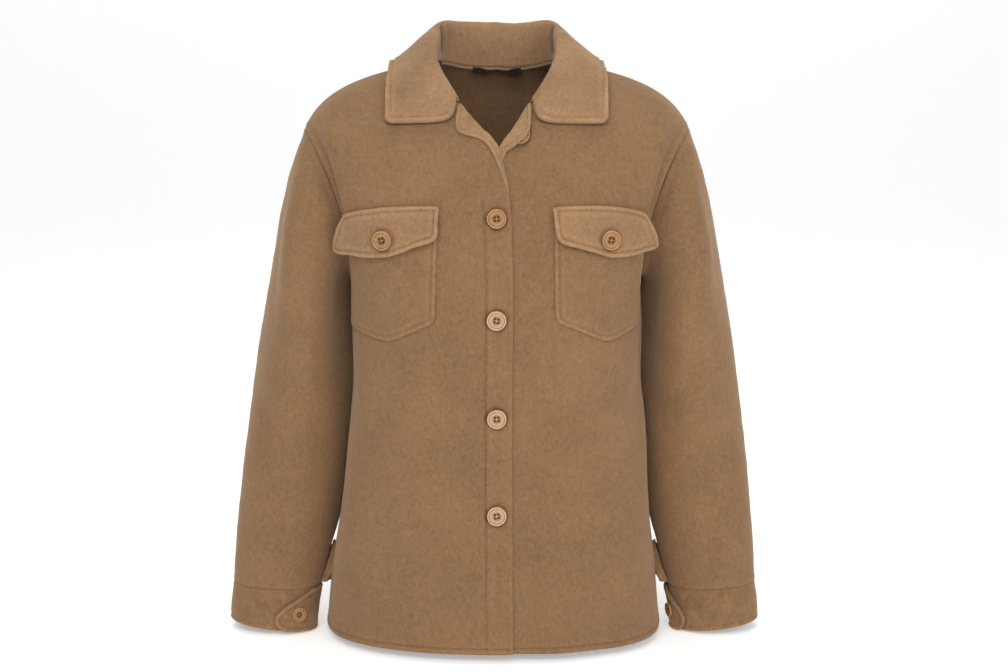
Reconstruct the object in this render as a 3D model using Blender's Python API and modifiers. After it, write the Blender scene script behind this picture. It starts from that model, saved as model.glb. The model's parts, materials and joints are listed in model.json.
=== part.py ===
"""Hip-length shirt coat in thick brushed cloth, holding the hollow shape it has when it is worn.

Metres, +Z up. The front faces -Y and the wearer's left is +X. The origin is the middle of the neck
at the height where the shoulders carry the coat.

All of the body cloth is read from two smooth surfaces, a front and a back. Each is a stack of curved
rows that run from the middle of the coat to its side seam or armhole. A place on them is (across, up):
across is 0 at the middle and 1 at the side, up is -1 at the hem, 0 at the underarm and 1 at the
shoulder seam. A sleeve is a stack of rings, and a place on it is (turn, down): turn is the angle round
the ring from its outer side by way of the front, down is 0 at the armhole and 1 at the cuff seam.
"""

import math

import bmesh
import bpy
import numpy as np
from mathutils import Matrix, Vector

# Cloth and seams
CLOTH = 0.0024
DOUBLE_CLOTH = 0.0042
SEAM_GAP = 0.0003
PATCH_GAP = 0.0008
HALF_GAP = SEAM_GAP / 2

# Side of the body that lies on top at the front, and the one under it, as signs of x
OVER_SIDE = -1
UNDER_SIDE = 1
UNDER_TUCK = CLOTH + 0.0012
TUCK_FROM = 0.022
TUCK_TO = 0.062
TUCK_UP_TO = 0.62
TUCK_FADE = 0.20

# Neck
NECK_HALF_WIDTH = 0.072
BACK_NECK_UP = 0.83
NECK_ROUNDING = 0.03

# Side seam, from the hem to the underarm
SIDE = (
    ("up", "x", "y", "z"),
    (-1.00, 0.2040, 0.000, -0.6850),
    (-0.83, 0.1965, -0.006, -0.6080),
    (-0.66, 0.1860, -0.013, -0.5340),
    (-0.47, 0.1785, -0.018, -0.4520),
    (-0.28, 0.1720, -0.020, -0.3720),
    (-0.14, 0.1730, -0.015, -0.3110),
    (0.00, 0.1700, -0.004, -0.2512),
)

# Rows of the front and of the back: the middle point, the slope of the row there, how far the row
# keeps its direction at each end, and the direction in which it reaches the side or the armhole
FRONT = (
    ("up", "y", "z", "slope", "inner", "outer", "run_x", "run_y", "run_z"),
    (-1.00, -0.1430, -0.6840, 0.00, 0.136, 0.094, 0.00, 1.00, 0.00),
    (-0.83, -0.1400, -0.6080, 0.00, 0.128, 0.090, 0.00, 1.00, 0.00),
    (-0.66, -0.1360, -0.5340, 0.00, 0.121, 0.084, 0.00, 1.00, 0.00),
    (-0.47, -0.1325, -0.4530, 0.00, 0.115, 0.080, 0.00, 1.00, 0.00),
    (-0.28, -0.1330, -0.3710, 0.00, 0.112, 0.080, 0.00, 1.00, 0.00),
    (-0.14, -0.1355, -0.3100, 0.00, 0.113, 0.082, 0.00, 1.00, 0.00),
    (0.00, -0.1350, -0.2500, 0.00, 0.114, 0.082, -0.05, 1.00, 0.00),
    (0.20, -0.1290, -0.2030, -0.02, 0.117, 0.074, -0.14, 1.00, -0.02),
    (0.40, -0.1180, -0.1530, -0.04, 0.128, 0.060, -0.02, 1.00, -0.08),
    (0.60, -0.1010, -0.0990, -0.06, 0.133, 0.054, 0.25, 0.90, -0.30),
    (0.75, -0.0790, -0.0550, -0.07, 0.139, 0.053, 0.38, 0.55, -0.72),
    (0.90, -0.0370, -0.0090, -0.10, 0.147, 0.054, 0.42, 0.20, -0.88),
    (1.00, 0.0000, 0.0080, -0.10, 0.150, 0.054, 0.42, 0.00, -0.90),
)
BACK = (
    ("up", "y", "z", "slope", "inner", "outer", "run_x", "run_y", "run_z"),
    (-1.00, 0.1430, -0.6840, 0.00, 0.128, 0.092, 0.00, -1.00, 0.00),
    (-0.83, 0.1390, -0.6070, 0.00, 0.120, 0.088, 0.00, -1.00, 0.00),
    (-0.66, 0.1320, -0.5330, 0.00, 0.110, 0.084, 0.00, -1.00, 0.00),
    (-0.47, 0.1240, -0.4520, 0.00, 0.102, 0.078, 0.00, -1.00, 0.00),
    (-0.28, 0.1190, -0.3710, 0.00, 0.098, 0.074, 0.00, -1.00, 0.00),
    (-0.14, 0.1200, -0.3110, 0.00, 0.100, 0.075, 0.00, -1.00, 0.00),
    (0.00, 0.1240, -0.2500, 0.00, 0.104, 0.074, 0.00, -1.00, 0.00),
    (0.20, 0.1240, -0.1980, 0.00, 0.110, 0.066, 0.02, -1.00, -0.05),
    (0.40, 0.1180, -0.1430, -0.02, 0.122, 0.056, 0.12, -0.95, -0.15),
    (0.60, 0.1040, -0.0820, -0.05, 0.132, 0.052, 0.35, -0.85, -0.38),
    (0.75, 0.0840, -0.0320, -0.07, 0.138, 0.053, 0.42, -0.55, -0.70),
    (0.90, 0.0460, 0.0010, -0.10, 0.147, 0.054, 0.42, -0.20, -0.88),
    (1.00, 0.0000, 0.0080, -0.10, 0.150, 0.054, 0.42, 0.00, -0.90),
)

# Rings of a sleeve: its outer and inner points, its middle in y, how far it reaches forward and
# back from there, and how far its front and back are hollowed towards the body
SLEEVE = (
    ("down", "outer_x", "outer_z", "inner_x", "inner_z", "y", "front", "back", "hollow_f", "hollow_b"),
    (0.00, 0.2265, -0.0780, 0.1700, -0.2512, -0.004, 0.057, 0.078, 0.014, 0.008),
    (0.10, 0.2412, -0.1180, 0.1752, -0.2610, 0.002, 0.071, 0.080, 0.004, 0.003),
    (0.22, 0.2545, -0.1680, 0.1775, -0.2790, 0.010, 0.078, 0.078, 0.000, 0.000),
    (0.36, 0.2685, -0.2380, 0.1765, -0.3100, 0.019, 0.078, 0.072, 0.000, 0.000),
    (0.52, 0.2850, -0.3250, 0.1745, -0.3700, 0.025, 0.072, 0.064, 0.000, 0.000),
    (0.68, 0.2990, -0.4200, 0.1790, -0.4430, 0.024, 0.064, 0.058, 0.000, 0.000),
    (0.82, 0.3105, -0.5050, 0.1885, -0.5160, 0.018, 0.056, 0.052, 0.000, 0.000),
    (0.92, 0.3175, -0.5750, 0.1985, -0.5830, 0.011, 0.048, 0.046, 0.000, 0.000),
    (1.00, 0.3205, -0.6350, 0.2135, -0.6400, 0.006, 0.039, 0.039, 0.000, 0.000),
)

# Cuff rings, read the same way, from the seam to the bottom edge
CUFF = (
    ("down", "outer_x", "outer_z", "inner_x", "inner_z", "y", "front", "back", "hollow_f", "hollow_b"),
    (0.00, 0.3222, -0.6356, 0.2150, -0.6406, 0.006, 0.0405, 0.0405, 0.0, 0.0),
    (0.50, 0.3240, -0.6590, 0.2185, -0.6670, 0.005, 0.0405, 0.0405, 0.0, 0.0),
    (1.00, 0.3248, -0.6820, 0.2215, -0.6940, 0.004, 0.0395, 0.0395, 0.0, 0.0),
)

# Front edges, as places on their own side, from where they leave the straight line up to the collar
OVER_EDGE = (
    ("across", "up"),
    (-0.048, 0.300),
    (-0.044, 0.365),
    (-0.039, 0.420),
    (-0.028, 0.490),
    (-0.013, 0.560),
    (0.001, 0.612),
    (0.020, 0.654),
    (0.044, 0.686),
    (0.070, 0.722),
    (0.095, 0.765),
    (0.113, 0.792),
)
UNDER_EDGE = (
    ("across", "up"),
    (-0.048, 0.300),
    (-0.040, 0.395),
    (-0.024, 0.500),
    (-0.007, 0.575),
    (0.012, 0.622),
    (0.037, 0.667),
    (0.060, 0.712),
    (0.081, 0.756),
    (0.101, 0.788),
)
PLACKET_OVERLAP = 0.0195

# How far the inner side of a sleeve leans in behind the side of the body, and where round the sleeve
SLEEVE_LEAN = 0.017
LEAN_TURN = 220.0
# How far each sleeve and each side of the body hangs away from its mirrored shape, outward from
# the middle, at the cuff and at the hem
SLEEVE_SWING = {-1: 0.0035, 1: -0.0035}
BODY_SWING = {-1: 0.0050, 1: -0.0050}
BODY_SWING_FROM = 0.30

# Folds of the body cloth: the path of each in (across, up), its height out of the cloth, which is
# negative for a trough, and its half width. The side is the sign of x, or 0 for both
BODY_FOLDS = (
    ("cloth", "side", "across_a", "up_a", "across_b", "up_b", "height", "width"),
    ("front", 1, 1.00, -0.20, 0.72, -0.30, -0.0065, 0.016),
    ("front", 1, 0.98, -0.32, 0.80, -0.62, 0.0030, 0.022),
    ("front", -1, 1.00, -0.24, 0.78, -0.40, -0.0030, 0.022),
    ("front", -1, 0.70, -0.28, 0.74, -1.10, 0.0030, 0.030),
    ("front", -1, 0.44, -0.40, 0.40, -1.10, -0.0022, 0.032),
    ("front", 1, 0.60, -0.34, 0.66, -1.10, 0.0026, 0.032),
    ("front", 1, 0.34, -0.45, 0.32, -1.10, -0.0020, 0.032),
    ("back", -1, 0.50, 0.10, 0.56, -1.10, 0.0045, 0.030),
    ("back", 1, 0.46, 0.16, 0.60, -1.10, 0.0050, 0.028),
    ("back", -1, 0.20, -0.20, 0.16, -1.10, -0.0040, 0.030),
    ("back", 1, 0.22, -0.30, 0.26, -1.10, -0.0035, 0.028),
    ("back", 1, 0.92, 0.22, 0.62, 0.02, 0.0035, 0.014),
    ("back", -1, 0.94, 0.26, 0.64, -0.02, 0.0030, 0.015),
)

# Folds of the sleeves: path in (turn in degrees, down), height, and half width
SLEEVE_FOLDS = (
    ("side", "turn_a", "down_a", "turn_b", "down_b", "height", "width"),
    (-1, 42, -0.10, 92, 0.56, 0.0060, 0.018),
    (1, 45, -0.10, 96, 0.52, 0.0060, 0.018),
    (-1, 105, 0.10, 120, 0.50, -0.0050, 0.018),
    (1, 108, 0.08, 124, 0.46, -0.0050, 0.018),
    (-1, 80, 0.55, 118, 0.66, -0.0030, 0.014),
    (1, 74, 0.50, 112, 0.63, -0.0030, 0.014),
    (-1, 88, 0.80, 98, 0.99, -0.0030, 0.010),
    (1, 84, 0.82, 92, 0.99, -0.0028, 0.010),
    (-1, 300, 0.12, 318, 0.50, 0.0040, 0.018),
    (1, 296, 0.10, 312, 0.46, 0.0045, 0.018),
    (-1, 255, 0.52, 226, 0.64, -0.0040, 0.014),
    (1, 252, 0.50, 222, 0.60, -0.0040, 0.014),
)

# Chest pockets and their flaps, corners as (column, row) on the grid of the front they lie on
POCKET_TOP = ((6.18, 15.75), (11.40, 16.30))
POCKET_LOW = ((5.53, 11.05), (8.50, 10.48), (11.40, 11.10))
FLAP_TOP = ((6.18, 16.45), (11.90, 17.35))
FLAP_LOW = ((6.33, 14.55), (8.68, 14.35), (12.50, 15.80))
FLAP_LIFT = 0.0032
FLAP_HANG = 0.0030
POCKET_PUFF = 0.0020
FLAP_BUTTON = (0.457, 0.283)

# Collar, half of it from its front end to the middle of the back: how high it stands, how far its
# fold lies outside the neck seam, how far the fold rolls outward, and how full the fall is
COLLAR = (
    ("along", "rise", "lean", "roll", "fullness", "dip"),
    (0.00, 0.0060, 0.0020, 0.0040, 0.0010, 0.0240),
    (0.12, 0.0140, 0.0035, 0.0080, 0.0020, 0.0110),
    (0.28, 0.0240, 0.0035, 0.0090, 0.0020, 0.0020),
    (0.45, 0.0340, 0.0030, 0.0100, -0.0030, 0.0000),
    (0.65, 0.0505, 0.0035, 0.0125, -0.0010, 0.0000),
    (0.82, 0.0540, 0.0050, 0.0120, 0.0030, 0.0000),
    (1.00, 0.0545, 0.0060, 0.0110, 0.0060, 0.0000),
)
COLLAR_SHOULDER_ALONG = 0.45
COLLAR_TIP = (0.400, 0.728)
COLLAR_EDGE_AT_SHOULDER = 0.1250
COLLAR_EDGE_AT_BACK_UP = 0.70
COLLAR_CLEAR = 0.0050
COLLAR_SEAM_LIFT = 0.0012
COLLAR_DIP_WAY = (0.0, -0.62, -0.78)

# Front corners folded outward above the top fastened button
TURNED_CLEAR = {-1: 0.0006, 1: 0.0041}
TURNED_PUFF = 0.0012
OVER_CORNER = (
    ("edge_across", "edge_up", "free_across", "free_up"),
    (0.109, 0.784, 0.118, 0.768),
    (0.098, 0.768, 0.125, 0.716),
    (0.084, 0.745, 0.119, 0.687),
    (0.062, 0.710, 0.096, 0.671),
    (0.044, 0.685, 0.068, 0.659),
    (0.026, 0.662, 0.046, 0.646),
    (0.010, 0.635, 0.026, 0.622),
    (-0.004, 0.595, 0.010, 0.584),
)
UNDER_CORNER = (
    ("edge_across", "edge_up", "free_across", "free_up"),
    (0.097, 0.781, 0.101, 0.768),
    (0.090, 0.768, 0.104, 0.724),
    (0.078, 0.748, 0.102, 0.690),
    (0.062, 0.716, 0.088, 0.661),
    (0.048, 0.688, 0.068, 0.640),
    (0.036, 0.664, 0.053, 0.624),
    (0.026, 0.646, 0.040, 0.612),
    (0.018, 0.632, 0.029, 0.606),
)

# Buttons
BUTTON_RADIUS = 0.0112
BUTTON_THICK = 0.0034
BUTTON_RIM = 0.0034
BUTTON_DISH = 0.0009
BUTTON_HOLE_RADIUS = 0.0011
BUTTON_HOLE_OFFSET = 0.0019
FRONT_BUTTON_TOP = -0.1735
FRONT_BUTTON_PITCH = 0.1150
FRONT_BUTTON_COUNT = 4
FREE_BUTTON = (0.069, 0.675)

# Cuff closing: where the rounded tab ends, in degrees round the cuff, and what lies behind that end
TAB_END = {-1: 95.0, 1: 135.0}
TAB_BUTTON_BEHIND = 31.0
TAB_OVERLAP = 62.0
TAB_ROUND_LENGTH = 0.024
CUFF_THICK = 0.0036
SLIT_TOP_DOWN = 0.925
SLIT_TOP_TURN = 176.0
SLIT_LOW_TURN = 160.0
BINDING_SPAN = 26.0
BINDING_THICK = 0.0030

# Back neck: tape over the seam, and a plain label sewn on it
TAPE_WIDTH = 0.0070
TAPE_THICK = 0.0010
LABEL_HALF_LENGTH = 0.028
LABEL_HEIGHT = 0.0110
LABEL_THICK = 0.0008

# Number of cells in each grid
CELLS_NECK = 6
CELLS_SHOULDER = 8
CELLS_LOWER = 13
CELLS_UPPER = 10
YOKE_ROW = CELLS_LOWER + 4
CELLS_ROUND_SLEEVE = 2 * CELLS_UPPER
CELLS_DOWN_SLEEVE = 17
CELLS_ROUND_CUFF = 30
CELLS_COLLAR_FRONT = 8
CELLS_COLLAR_BACK = 8
CELLS_STAND = 4
CELLS_FALL = 6
BUTTON_STEPS = 20

CLOTH_COLOUR = (0.325, 0.178, 0.088, 1.0)
BUTTON_COLOUR = (0.45, 0.235, 0.105, 1.0)
LABEL_COLOUR = (0.020, 0.014, 0.014, 1.0)
TAPE_COLOUR = (0.42, 0.27, 0.16, 1.0)


# Tables and smooth curves

def column(table, name):
    """One named column of a table whose first row holds the names."""
    header = table[0]
    return np.array([row[header.index(name)] for row in table[1:]], float)


def smooth(stations, values, at):
    """Reads values between their stations along one smooth curve that passes through them all."""
    stations = np.asarray(stations, float)
    values = np.asarray(values, float)
    at = np.asarray(at, float)
    slopes = np.gradient(values, stations, axis=0)
    k = np.clip(np.searchsorted(stations, at, side="right") - 1, 0, len(stations) - 2)
    span = stations[k + 1] - stations[k]
    t = (at - stations[k]) / span
    return (
        values[k] * (2 * t**3 - 3 * t**2 + 1)
        + values[k + 1] * (3 * t**2 - 2 * t**3)
        + slopes[k] * span * (t**3 - 2 * t**2 + t)
        + slopes[k + 1] * span * (t**3 - t**2)
    )


def read(table, name, at):
    """One column of a table, read between its rows by the first column."""
    return smooth(column(table, table[0][0]), column(table, name), at)


def points(x, y, z):
    """Three arrays as one array of points."""
    return np.stack(np.broadcast_arrays(x, y, z), axis=-1)


def bezier(start, leave, reach, end, t):
    """A cubic curve from start to end that leaves towards one point and arrives from the other."""
    t = np.asarray(t)[..., None]
    k = 1 - t
    return k**3 * start + 3 * k * k * t * leave + 3 * k * t * t * reach + t**3 * end


def ease(t):
    """0 below 0, 1 above 1, and smooth between."""
    t = np.clip(t, 0.0, 1.0)
    return t * t * (3 - 2 * t)


def unit(vectors):
    return vectors / np.maximum(np.linalg.norm(vectors, axis=-1, keepdims=True), 1e-12)


# Sleeve and cuff rings

def ring_point(table, turn, down):
    """A point of a ring on the wearer's left: turn 0 is its outer side and a quarter turn its front."""
    get = {name: read(table, name, down) for name in table[0][1:]}
    c, s = np.cos(turn), np.sin(turn)
    reach = np.where(s > 0, get["front"], get["back"])
    hollow = np.where(s > 0, get["hollow_f"], get["hollow_b"])
    return points(
        (get["outer_x"] + get["inner_x"]) / 2 + c * (get["outer_x"] - get["inner_x"]) / 2 - hollow * s * s,
        get["y"] - s * reach,
        (get["outer_z"] + get["inner_z"]) / 2 + c * (get["outer_z"] - get["inner_z"]) / 2,
    )


def to_side(spots, side):
    """Mirrors points of the wearer's left to the given side."""
    return spots * np.array([side, 1.0, 1.0])


def swing(side, down):
    """How far a sleeve hangs out at some place down its length."""
    return points(SLEEVE_SWING[side] * np.asarray(down, float) ** 2, 0.0, 0.0)


# Body cloth

def side_point(cloth, up):
    """Where a row of the body cloth ends: on the side seam, or above the underarm on the armhole."""
    seam = points(*(read(SIDE, name, np.minimum(up, 0.0)) for name in ("x", "y", "z")))
    half_turn = math.pi * (1 - np.clip(up, 0.0, 1.0))
    turn = half_turn if cloth == "front" else -half_turn
    armhole = ring_point(SLEEVE, turn, np.zeros_like(turn))
    return np.where((up > 0)[..., None], armhole, seam)


def plain_body(cloth, across, up):
    """A point of the front or the back before folds, across on either side of the middle."""
    across, up = np.broadcast_arrays(np.asarray(across, float), np.asarray(up, float))
    table = FRONT if cloth == "front" else BACK
    get = {name: read(table, name, up) for name in table[0][1:]}
    middle = points(0 * up, get["y"], get["z"])
    side = side_point(cloth, up)
    leave = middle + unit(points(1.0, 0.0, get["slope"])) * get["inner"][..., None]
    reach = side - unit(points(get["run_x"], get["run_y"], get["run_z"])) * get["outer"][..., None]
    spots = bezier(middle, leave, reach, side, np.abs(across))
    sign = np.where(across < 0, -1.0, 1.0)
    return spots * points(sign, 1.0, 1.0)


def from_path(a, b, spot):
    """Distance of a spot from a straight path, and how far along the path it lies from 0 to 1."""
    a, b = np.asarray(a), np.asarray(b)
    share = np.clip(((spot - a) @ (b - a)) / np.dot(b - a, b - a), 0.0, 1.0)
    return np.linalg.norm(spot - (a + share[..., None] * (b - a)), axis=-1), share


def fold_height(away, share, height, width):
    """A soft ridge or trough that fades towards both ends of its path."""
    return height * np.exp(-((away / width) ** 2)) * (0.35 + 0.65 * np.sin(math.pi * share))


# The walls of the front and the back are cut square to each other above this place, so that they
# meet along the shoulder seam
SQUARE_FROM = 0.88
ROW_LENGTH = 0.255
LOWER_LENGTH = 0.425
UPPER_LENGTH = 0.210


def flat_body(across, up):
    """Roughly where a place on the body cloth lies when the cloth is laid flat, in metres."""
    height = np.where(np.asarray(up) < 0, up * LOWER_LENGTH, up * UPPER_LENGTH)
    return np.stack(np.broadcast_arrays(across * ROW_LENGTH, height), axis=-1)


def body_folds(cloth, side, across, up):
    """Height of all the folds on one side of the front or the back."""
    total = np.zeros(np.broadcast(across, up).shape)
    spot = flat_body(across, up)
    for name, of_side, across_a, up_a, across_b, up_b, height, width in BODY_FOLDS[1:]:
        if name != cloth or of_side != side:
            continue
        away, share = from_path(flat_body(across_a, up_a), flat_body(across_b, up_b), spot)
        total += fold_height(away, share, height, width)
    return total * ease((1 - np.asarray(across)) / 0.08) * ease((1 - np.asarray(up)) / 0.08)


def normals(surface, a, b, step=1e-3):
    """Outward normals of a surface of two parameters, from short steps along both."""
    along_a = surface(a + step, b) - surface(a - step, b)
    along_b = surface(a, b + step) - surface(a, b - step)
    return unit(np.cross(along_a, along_b))


def body(cloth, side):
    """The folded front or back cloth on one side, as a function of (across, up)."""
    sign = side if cloth == "front" else -side

    def bare(across, up):
        hang = ease((-np.asarray(up, float) - BODY_SWING_FROM) / (1 - BODY_SWING_FROM))
        out = points(BODY_SWING[side] * hang * np.asarray(across, float) ** 2, 0.0, 0.0)
        return to_side(plain_body(cloth, across, up) + out, side)

    def folded(across, up):
        across, up = np.broadcast_arrays(np.asarray(across, float), np.asarray(up, float))
        height = body_folds(cloth, side, np.maximum(across, 0.0), up)
        if cloth == "front" and side == UNDER_SIDE:
            x = bare(across, up)[..., 0] * side
            beside = 1 - ease((x - TUCK_FROM) / (TUCK_TO - TUCK_FROM))
            height = height - UNDER_TUCK * beside * (1 - ease((up - TUCK_UP_TO) / TUCK_FADE))
        return bare(across, up) + sign * height[..., None] * normals(bare, across, up)

    def skin(across, up, out=0.0):
        across, up = np.broadcast_arrays(np.asarray(across, float), np.asarray(up, float))
        out = np.broadcast_to(out, across.shape)
        square = 1 - ease((up - SQUARE_FROM) / (1 - SQUARE_FROM - 0.01))
        facing = unit(normals(folded, across, up) * points(1.0, square, 1.0))
        return folded(across, up) + sign * out[..., None] * facing

    return skin


def across_at(cloth, x, up):
    """The place across a row at which the cloth is x from the middle."""
    places = np.linspace(-0.4, 1.0, 281)
    return float(np.interp(x, plain_body(cloth, places, up + 0 * places)[:, 0], places))


def place_at(x, z):
    """The place on the front cloth that are seen at (x, z) from the front, for the wearer's left."""
    x, z = np.asarray(x, float), np.asarray(z, float)
    across, up = x / 0.27, 1 + (z + 0.05) / 0.2
    up = np.where(up > 0, up, up / 2)
    for _ in range(24):
        here = plain_body("front", across, up)
        by_across = (plain_body("front", across + 1e-4, up) - here) / 1e-4
        by_up = (plain_body("front", across, up + 1e-4) - here) / 1e-4
        off_x, off_z = x - here[..., 0], z - here[..., 2]
        scale = by_across[..., 0] * by_up[..., 2] - by_up[..., 0] * by_across[..., 2]
        step_across = (off_x * by_up[..., 2] - off_z * by_up[..., 0]) / scale
        step_up = (off_z * by_across[..., 0] - off_x * by_across[..., 2]) / scale
        across = across + np.clip(step_across, -0.2, 0.2)
        up = up + np.clip(step_up, -0.2, 0.2)
    return np.stack([across, up], axis=-1)


# Panels: grids of places that fill four edges

def grade(cells, low, high):
    return np.linspace(low, high, cells + 1)


def fill(left, right, bottom, top, shares_across, shares_up):
    """Places between four edges. Each edge is a function of a share from 0 to 1."""
    r, t = np.meshgrid(shares_across, shares_up)
    r1, t1 = r[..., None], t[..., None]
    corners = (
        (1 - r1) * (1 - t1) * bottom(np.zeros(1))[0]
        + r1 * (1 - t1) * bottom(np.ones(1))[0]
        + (1 - r1) * t1 * top(np.zeros(1))[0]
        + r1 * t1 * top(np.ones(1))[0]
    )
    return (
        (1 - t1) * bottom(r) + t1 * top(r) + (1 - r1) * left(t) + r1 * right(t) - corners
    )


def polyline(spots):
    """A function of a share from 0 to 1 along a list of places."""
    spots = np.asarray(spots, float)
    length = np.concatenate([[0.0], np.cumsum(np.linalg.norm(np.diff(flat_body(*spots.T), axis=0), axis=1))])

    def at(share):
        d = np.asarray(share) * length[-1]
        return np.stack([np.interp(d, length, spots[:, k]) for k in (0, 1)], axis=-1)

    return at


UNDERARM_SHARE = CELLS_LOWER / (CELLS_LOWER + CELLS_UPPER)
NECK_SHARE = CELLS_NECK / (CELLS_NECK + CELLS_SHOULDER)
EDGE_IN = HALF_GAP / ROW_LENGTH
TOP_IN = HALF_GAP / UPPER_LENGTH


def split_edge(lower, upper):
    """An edge in two stretches that meet at the height of the underarm."""

    def at(share):
        share = np.asarray(share)
        low = lower(np.clip(share / UNDERARM_SHARE, 0, 1))
        high = upper(np.clip((share - UNDERARM_SHARE) / (1 - UNDERARM_SHARE), 0, 1))
        return np.where((share < UNDERARM_SHARE)[..., None], low, high)

    return at


def panel_places(inner_low, inner_high, neck, neck_across):
    """Places of one side of the front or the back, from its inner edge to its side seam and armhole."""
    start = inner_low(np.zeros(1))[0]
    side = 1 - EDGE_IN
    top_up = 1 - TOP_IN
    left = split_edge(inner_low, inner_high)
    right = split_edge(polyline([(side, -1), (side, 0)]), polyline([(side, 0), (side, top_up)]))
    bottom = polyline([tuple(start), (side, -1)])

    def top(share):
        share = np.asarray(share)
        on_neck = neck(np.clip(share / NECK_SHARE, 0, 1))
        r = np.clip((share - NECK_SHARE) / (1 - NECK_SHARE), 0, 1)
        on_shoulder = np.stack([neck_across + (side - neck_across) * r, top_up + 0 * r], axis=-1)
        return np.where((share < NECK_SHARE)[..., None], on_neck, on_shoulder)

    shares_across = grade(CELLS_NECK + CELLS_SHOULDER, 0, 1)
    shares_up = grade(CELLS_LOWER + CELLS_UPPER, 0, 1)
    return fill(left, right, bottom, top, shares_across, shares_up)


SHOULDER_NECK_ACROSS = across_at("front", NECK_HALF_WIDTH, 1.0)


def front_edge_places(side):
    """The upper stretch of a front edge, from underarm height to the collar."""
    table = OVER_EDGE if side == OVER_SIDE else UNDER_EDGE
    spots = [(across_at("front", -PLACKET_OVERLAP, 0.0), 0.0)]
    spots += list(zip(column(table, "across"), column(table, "up")))
    return spots


def collar_end(side):
    return np.asarray(front_edge_places(side)[-1])


def front_neck(side):
    """The neck seam of a front, from the collar's end to the shoulder seam."""
    start = collar_end(side)
    end = np.array([SHOULDER_NECK_ACROSS, 1.0])

    def at(share):
        share = np.asarray(share)[..., None]
        bow = NECK_ROUNDING * np.sin(math.pi * share) * np.array([1.0, 0.0])
        return start + (end - start) * share + bow

    return at


def back_neck(share):
    """The neck seam of the back, from its middle to the shoulder seam."""
    quarter = np.asarray(share) * math.pi / 2
    return np.stack(
        [SHOULDER_NECK_ACROSS * np.sin(quarter), 1 - (1 - BACK_NECK_UP) * np.cos(quarter)], axis=-1
    )


def front_places(side):
    hem = (across_at("front", -PLACKET_OVERLAP, -1.0), -1.0)
    edge = front_edge_places(side)
    low = polyline([hem, edge[0]])
    return panel_places(low, polyline(edge), front_neck(side), SHOULDER_NECK_ACROSS)


def on_front(side):
    """A front as a function of (column, row) of its own grid and the distance out of its cloth.

    Patches made from it lie flat on the panel's own faces.
    """
    places = front_places(side)
    skin = body("front", side)
    base = skin(places[..., 0], places[..., 1])
    facing = skin(places[..., 0], places[..., 1], 1.0) - base

    def at(column, row, out):
        j = np.clip(np.floor(column).astype(int), 0, base.shape[1] - 2)
        i = np.clip(np.floor(row).astype(int), 0, base.shape[0] - 2)
        c, r = (column - j)[..., None], (row - i)[..., None]

        def mix(grid):
            low = grid[i, j] * (1 - c) + grid[i, j + 1] * c
            high = grid[i + 1, j] * (1 - c) + grid[i + 1, j + 1] * c
            return low * (1 - r) + high * r

        return mix(base) + unit(mix(facing)) * np.asarray(out)[..., None]

    return at


def back_places():
    low = polyline([(0.0, -1.0), (0.0, 0.0)])
    high = polyline([(0.0, 0.0), (0.0, BACK_NECK_UP)])
    return panel_places(low, high, back_neck, SHOULDER_NECK_ACROSS)


# Meshes

def material(name, colour, roughness):
    made = bpy.data.materials.get(name) or bpy.data.materials.new(name)
    made.use_nodes = True
    shader = made.node_tree.nodes["Principled BSDF"]
    shader.inputs["Base Color"].default_value = colour
    shader.inputs["Roughness"].default_value = roughness
    shader.inputs["Metallic"].default_value = 0.0
    return made


def collection(name):
    made = bpy.data.collections.get(name)
    if made is None:
        made = bpy.data.collections.new(name)
        bpy.context.scene.collection.children.link(made)
    return made


def add_object(name, mesh, look):
    made = bpy.data.objects.new(name, mesh)
    collection("shirt_coat").objects.link(made)
    if not mesh.materials:
        mesh.materials.append(look)
    return made


def wall(name, outside, inside, look, closed=False):
    """A cloth wall between an outer and an inner grid of points, with its edges closed.

    The rows of the grids run along the wall. A closed wall goes round: its last column meets its first.
    """
    rows, columns = outside.shape[:2]
    mesh = bmesh.new()
    outer = [[mesh.verts.new(spot) for spot in row] for row in outside]
    inner = [[mesh.verts.new(spot) for spot in row] for row in inside]
    last = columns if closed else columns - 1
    for i in range(rows - 1):
        for j in range(last):
            k = (j + 1) % columns
            mesh.faces.new((outer[i][j], outer[i][k], outer[i + 1][k], outer[i + 1][j]))
            mesh.faces.new((inner[i][j], inner[i + 1][j], inner[i + 1][k], inner[i][k]))
    for j in range(last):
        k = (j + 1) % columns
        mesh.faces.new((outer[0][k], outer[0][j], inner[0][j], inner[0][k]))
        mesh.faces.new((outer[-1][j], outer[-1][k], inner[-1][k], inner[-1][j]))
    if not closed:
        for i in range(rows - 1):
            mesh.faces.new((outer[i][0], outer[i + 1][0], inner[i + 1][0], inner[i][0]))
            mesh.faces.new((outer[i + 1][-1], outer[i][-1], inner[i][-1], inner[i + 1][-1]))
    bmesh.ops.recalc_face_normals(mesh, faces=mesh.faces)
    if mesh.calc_volume(signed=True) < 0:
        bmesh.ops.reverse_faces(mesh, faces=mesh.faces)
    data = bpy.data.meshes.new(name)
    mesh.to_mesh(data)
    mesh.free()
    data.shade_smooth()
    data.set_sharp_from_angle(angle=math.radians(50))
    return add_object(name, data, look)


def skin_wall(name, skin, places, out, thick, look):
    """A wall whose outer side lies the given distance out of a cloth surface."""
    a, b = places[..., 0], places[..., 1]
    out = np.broadcast_to(out, a.shape)
    return wall(name, skin(a, b, out), skin(a, b, out - thick), look)


# Fronts, back and sleeves

def make_fronts(look):
    for side, name in ((OVER_SIDE, "front_right"), (UNDER_SIDE, "front_left")):
        skin_wall(name, body("front", side), front_places(side), 0.0, CLOTH, look)


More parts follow.
